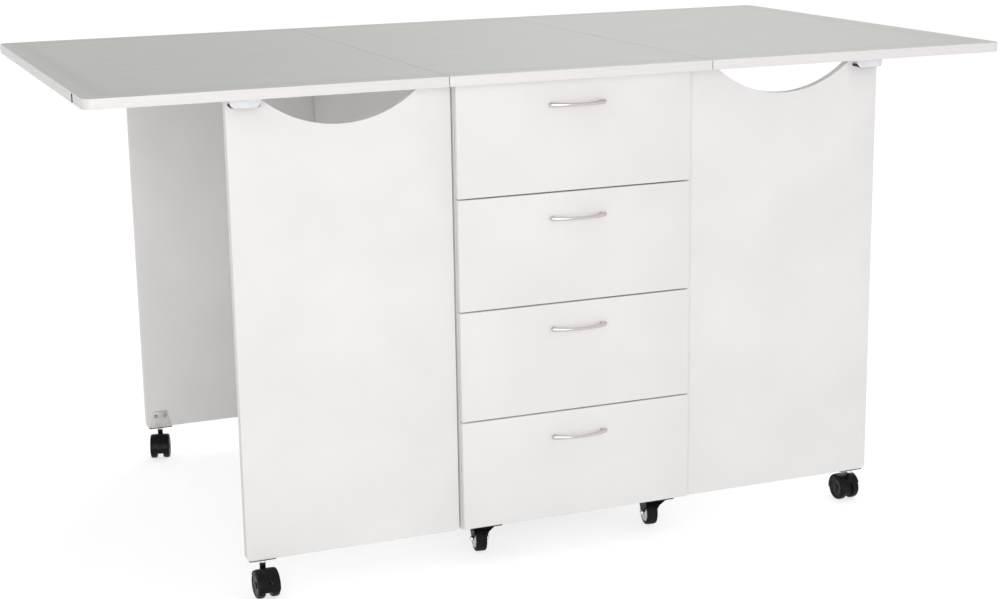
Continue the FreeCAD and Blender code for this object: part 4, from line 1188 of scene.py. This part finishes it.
def make_cabinet_castors():
    plates = eased_copy("castor_plates", 0.4)
    high = node_box("castor_plates")[1]
    swivels = [joint_place(f"fork_swivel_{place}").xy for place in PLACES]
    screws = [
        swivel + Vector((x_way * PLATE_SCREWS, y_way * PLATE_SCREWS))
        for swivel, x_way, y_way in product(swivels, (-1, 1), (-1, 1))
    ]
    is_screw = near(screws, PLATE_SCREW_REACH)
    plate_z = (high.z - PLATE_SHEET) * MM
    dress(plates, ENAMEL, STEEL, lambda face: is_screw(face) and face.center.z < plate_z)
    cover = dress(race_cover(), ENAMEL)
    covers = [copied(cover, "race_cover", moved(*swivel)) for swivel in swivels]
    fit(joined("castor_plate_set", plates, *covers), "cabinet", "castor_plates")
    models = {
        "frame": dress(fork_frame(), ENAMEL),
        "bolt": dress(wheel_bolt(), STEEL),
        "tread": dress(fork_tread(), TREAD),
        "core": dress(fork_core(), CORE_WHITE),
    }
    pivot = rod("pivot", PIVOT_RADIUS, -PIVOT_END, PIVOT_END, 24)
    dress(ease(stand(pivot, ON_PIVOT), 0.4), STEEL)
    for place in PLACES:
        spot = castor_spot(f"fork_swivel_{place}", f"fork_roll_{place}")
        fork, wheel = f"fork_{place}", f"fork_wheel_{place}"
        fit(copied(models["frame"], f"{fork}_frame", spot), fork, fork)
        fit(copied(models["bolt"], f"{fork}_bolt", spot), fork)
        fit(copied(models["tread"], f"{wheel}_tread", spot), wheel, wheel)
        fit(copied(models["core"], f"{wheel}_core", spot), wheel)
        if place.startswith("front"):
            node = f"brake_pedal_{place}"
            fit(dress(eased_copy(node, 0.5), ENAMEL), node, node)
            fit(copied(pivot, f"{node}_pivot", spot), node)
    discard(pivot, cover, *models.values())


# Floor, light and camera

FLOOR_HALF = 30  # metres
CAMERA_PLACE = (-1.3943, -3.6063, 1.3168)  # metres
CAMERA_TURN = (76.48, 0.88, -21.76)  # degrees about X, Y and Z
LENS = 68.669
WORLD_LEVELS = (0.50, 0.82)  # from the left and from the right
FLOOR_GLOW = 0.45  # share of the floor that is seen as plain white, under its shadow
FLOOR_WHITE = 1.58  # makes up for the matt share, which is darker than the white


def seen_rays(add):
    """One for the rays of the camera, of a gloss and through a clear thing, nought for others."""
    rays = add("ShaderNodeLightPath").outputs
    straight = add(
        "ShaderNodeMath", {0: rays["Is Camera Ray"], 1: rays["Is Glossy Ray"]}, operation="MAXIMUM"
    )
    clear = rays["Is Transmission Ray"]
    return add("ShaderNodeMath", {0: straight, 1: clear}, operation="MAXIMUM")


def studio_paper(add, place):
    """Matt background paper that keeps the soft shadow. Where the camera, a gloss or a clear thing
    sees it, a part of it is plain white."""
    fibres = add("ShaderNodeTexNoise", {"Vector": place, "Scale": per(3), "Detail": 3.0})
    color = add("ShaderNodeValToRGB", {"Fac": fibres}, stops=[(0.3, "#ececec"), (0.7, "#f0f0f0")])
    matt = add("ShaderNodeBsdfDiffuse", {"Color": color})
    share = add("ShaderNodeMath", {0: seen_rays(add), 1: FLOOR_GLOW}, operation="MULTIPLY")
    white = add("ShaderNodeEmission", {"Color": linear("#ffffff"), "Strength": FLOOR_WHITE})
    return add("ShaderNodeMixShader", {0: share, 1: matt, 2: white})


def make_floor():
    bpy.ops.object.select_all(action="DESELECT")
    bpy.ops.mesh.primitive_plane_add(size=2 * FLOOR_HALF)
    floor = named("studio_floor")
    floor.data.materials.append(finish(studio_paper))


def make_world():
    """Even studio light from all round, a little weaker from the left, and white where the camera
    or a reflection looks past the floor."""
    world = bpy.data.worlds.new("studio")
    bpy.context.scene.world = world
    world.use_nodes = True
    world.node_tree.nodes.clear()
    add = partial(add_node, world.node_tree)
    ways = add("ShaderNodeSeparateXYZ", {"Vector": add("ShaderNodeTexCoord").outputs["Generated"]})
    low, high = WORLD_LEVELS
    diffuse = add("ShaderNodeMapRange", {0: ways, 1: -1.0, 2: 1.0, 3: low, 4: high})
    level = add("ShaderNodeMix", {0: seen_rays(add), 2: diffuse, 3: 1.0})
    light = add("ShaderNodeBackground", {"Color": linear("#ffffff"), "Strength": level})
    add("ShaderNodeOutputWorld", {"Surface": light})


def softbox(name, place, target, size, power):
    bpy.ops.object.light_add(type="AREA", location=place)
    lamp = named(name)
    lamp.data.shape = "SQUARE"
    lamp.data.size = size
    lamp.data.energy = power
    aim = Vector(target) - Vector(place)
    lamp.rotation_euler = aim.to_track_quat("-Z", "Y").to_euler()


def make_lights():
    softbox("key_softbox", (-1.9, -5.0, 1.1), (0, 0, 0.4), 3.0, 96)
    softbox("back_softbox", (2.2, 3.2, 4.0), (0, 0, 0.7), 2.5, 58)


def make_camera():
    bpy.ops.object.camera_add(location=CAMERA_PLACE)
    camera = named("studio_camera")
    camera.rotation_euler = [math.radians(angle) for angle in CAMERA_TURN]
    camera.data.lens = LENS
    camera.data.clip_end = 100
    bpy.context.scene.camera = camera
    bpy.context.scene.view_settings.view_transform = "Standard"


make_hinges_and_pins()
make_top()
make_leaf_stops()
make_carcass()
make_drawers()
make_handles()
make_gates()
make_castor_brackets()
make_gate_castors()
make_cabinet_castors()
make_floor()
make_world()
make_lights()
make_camera()
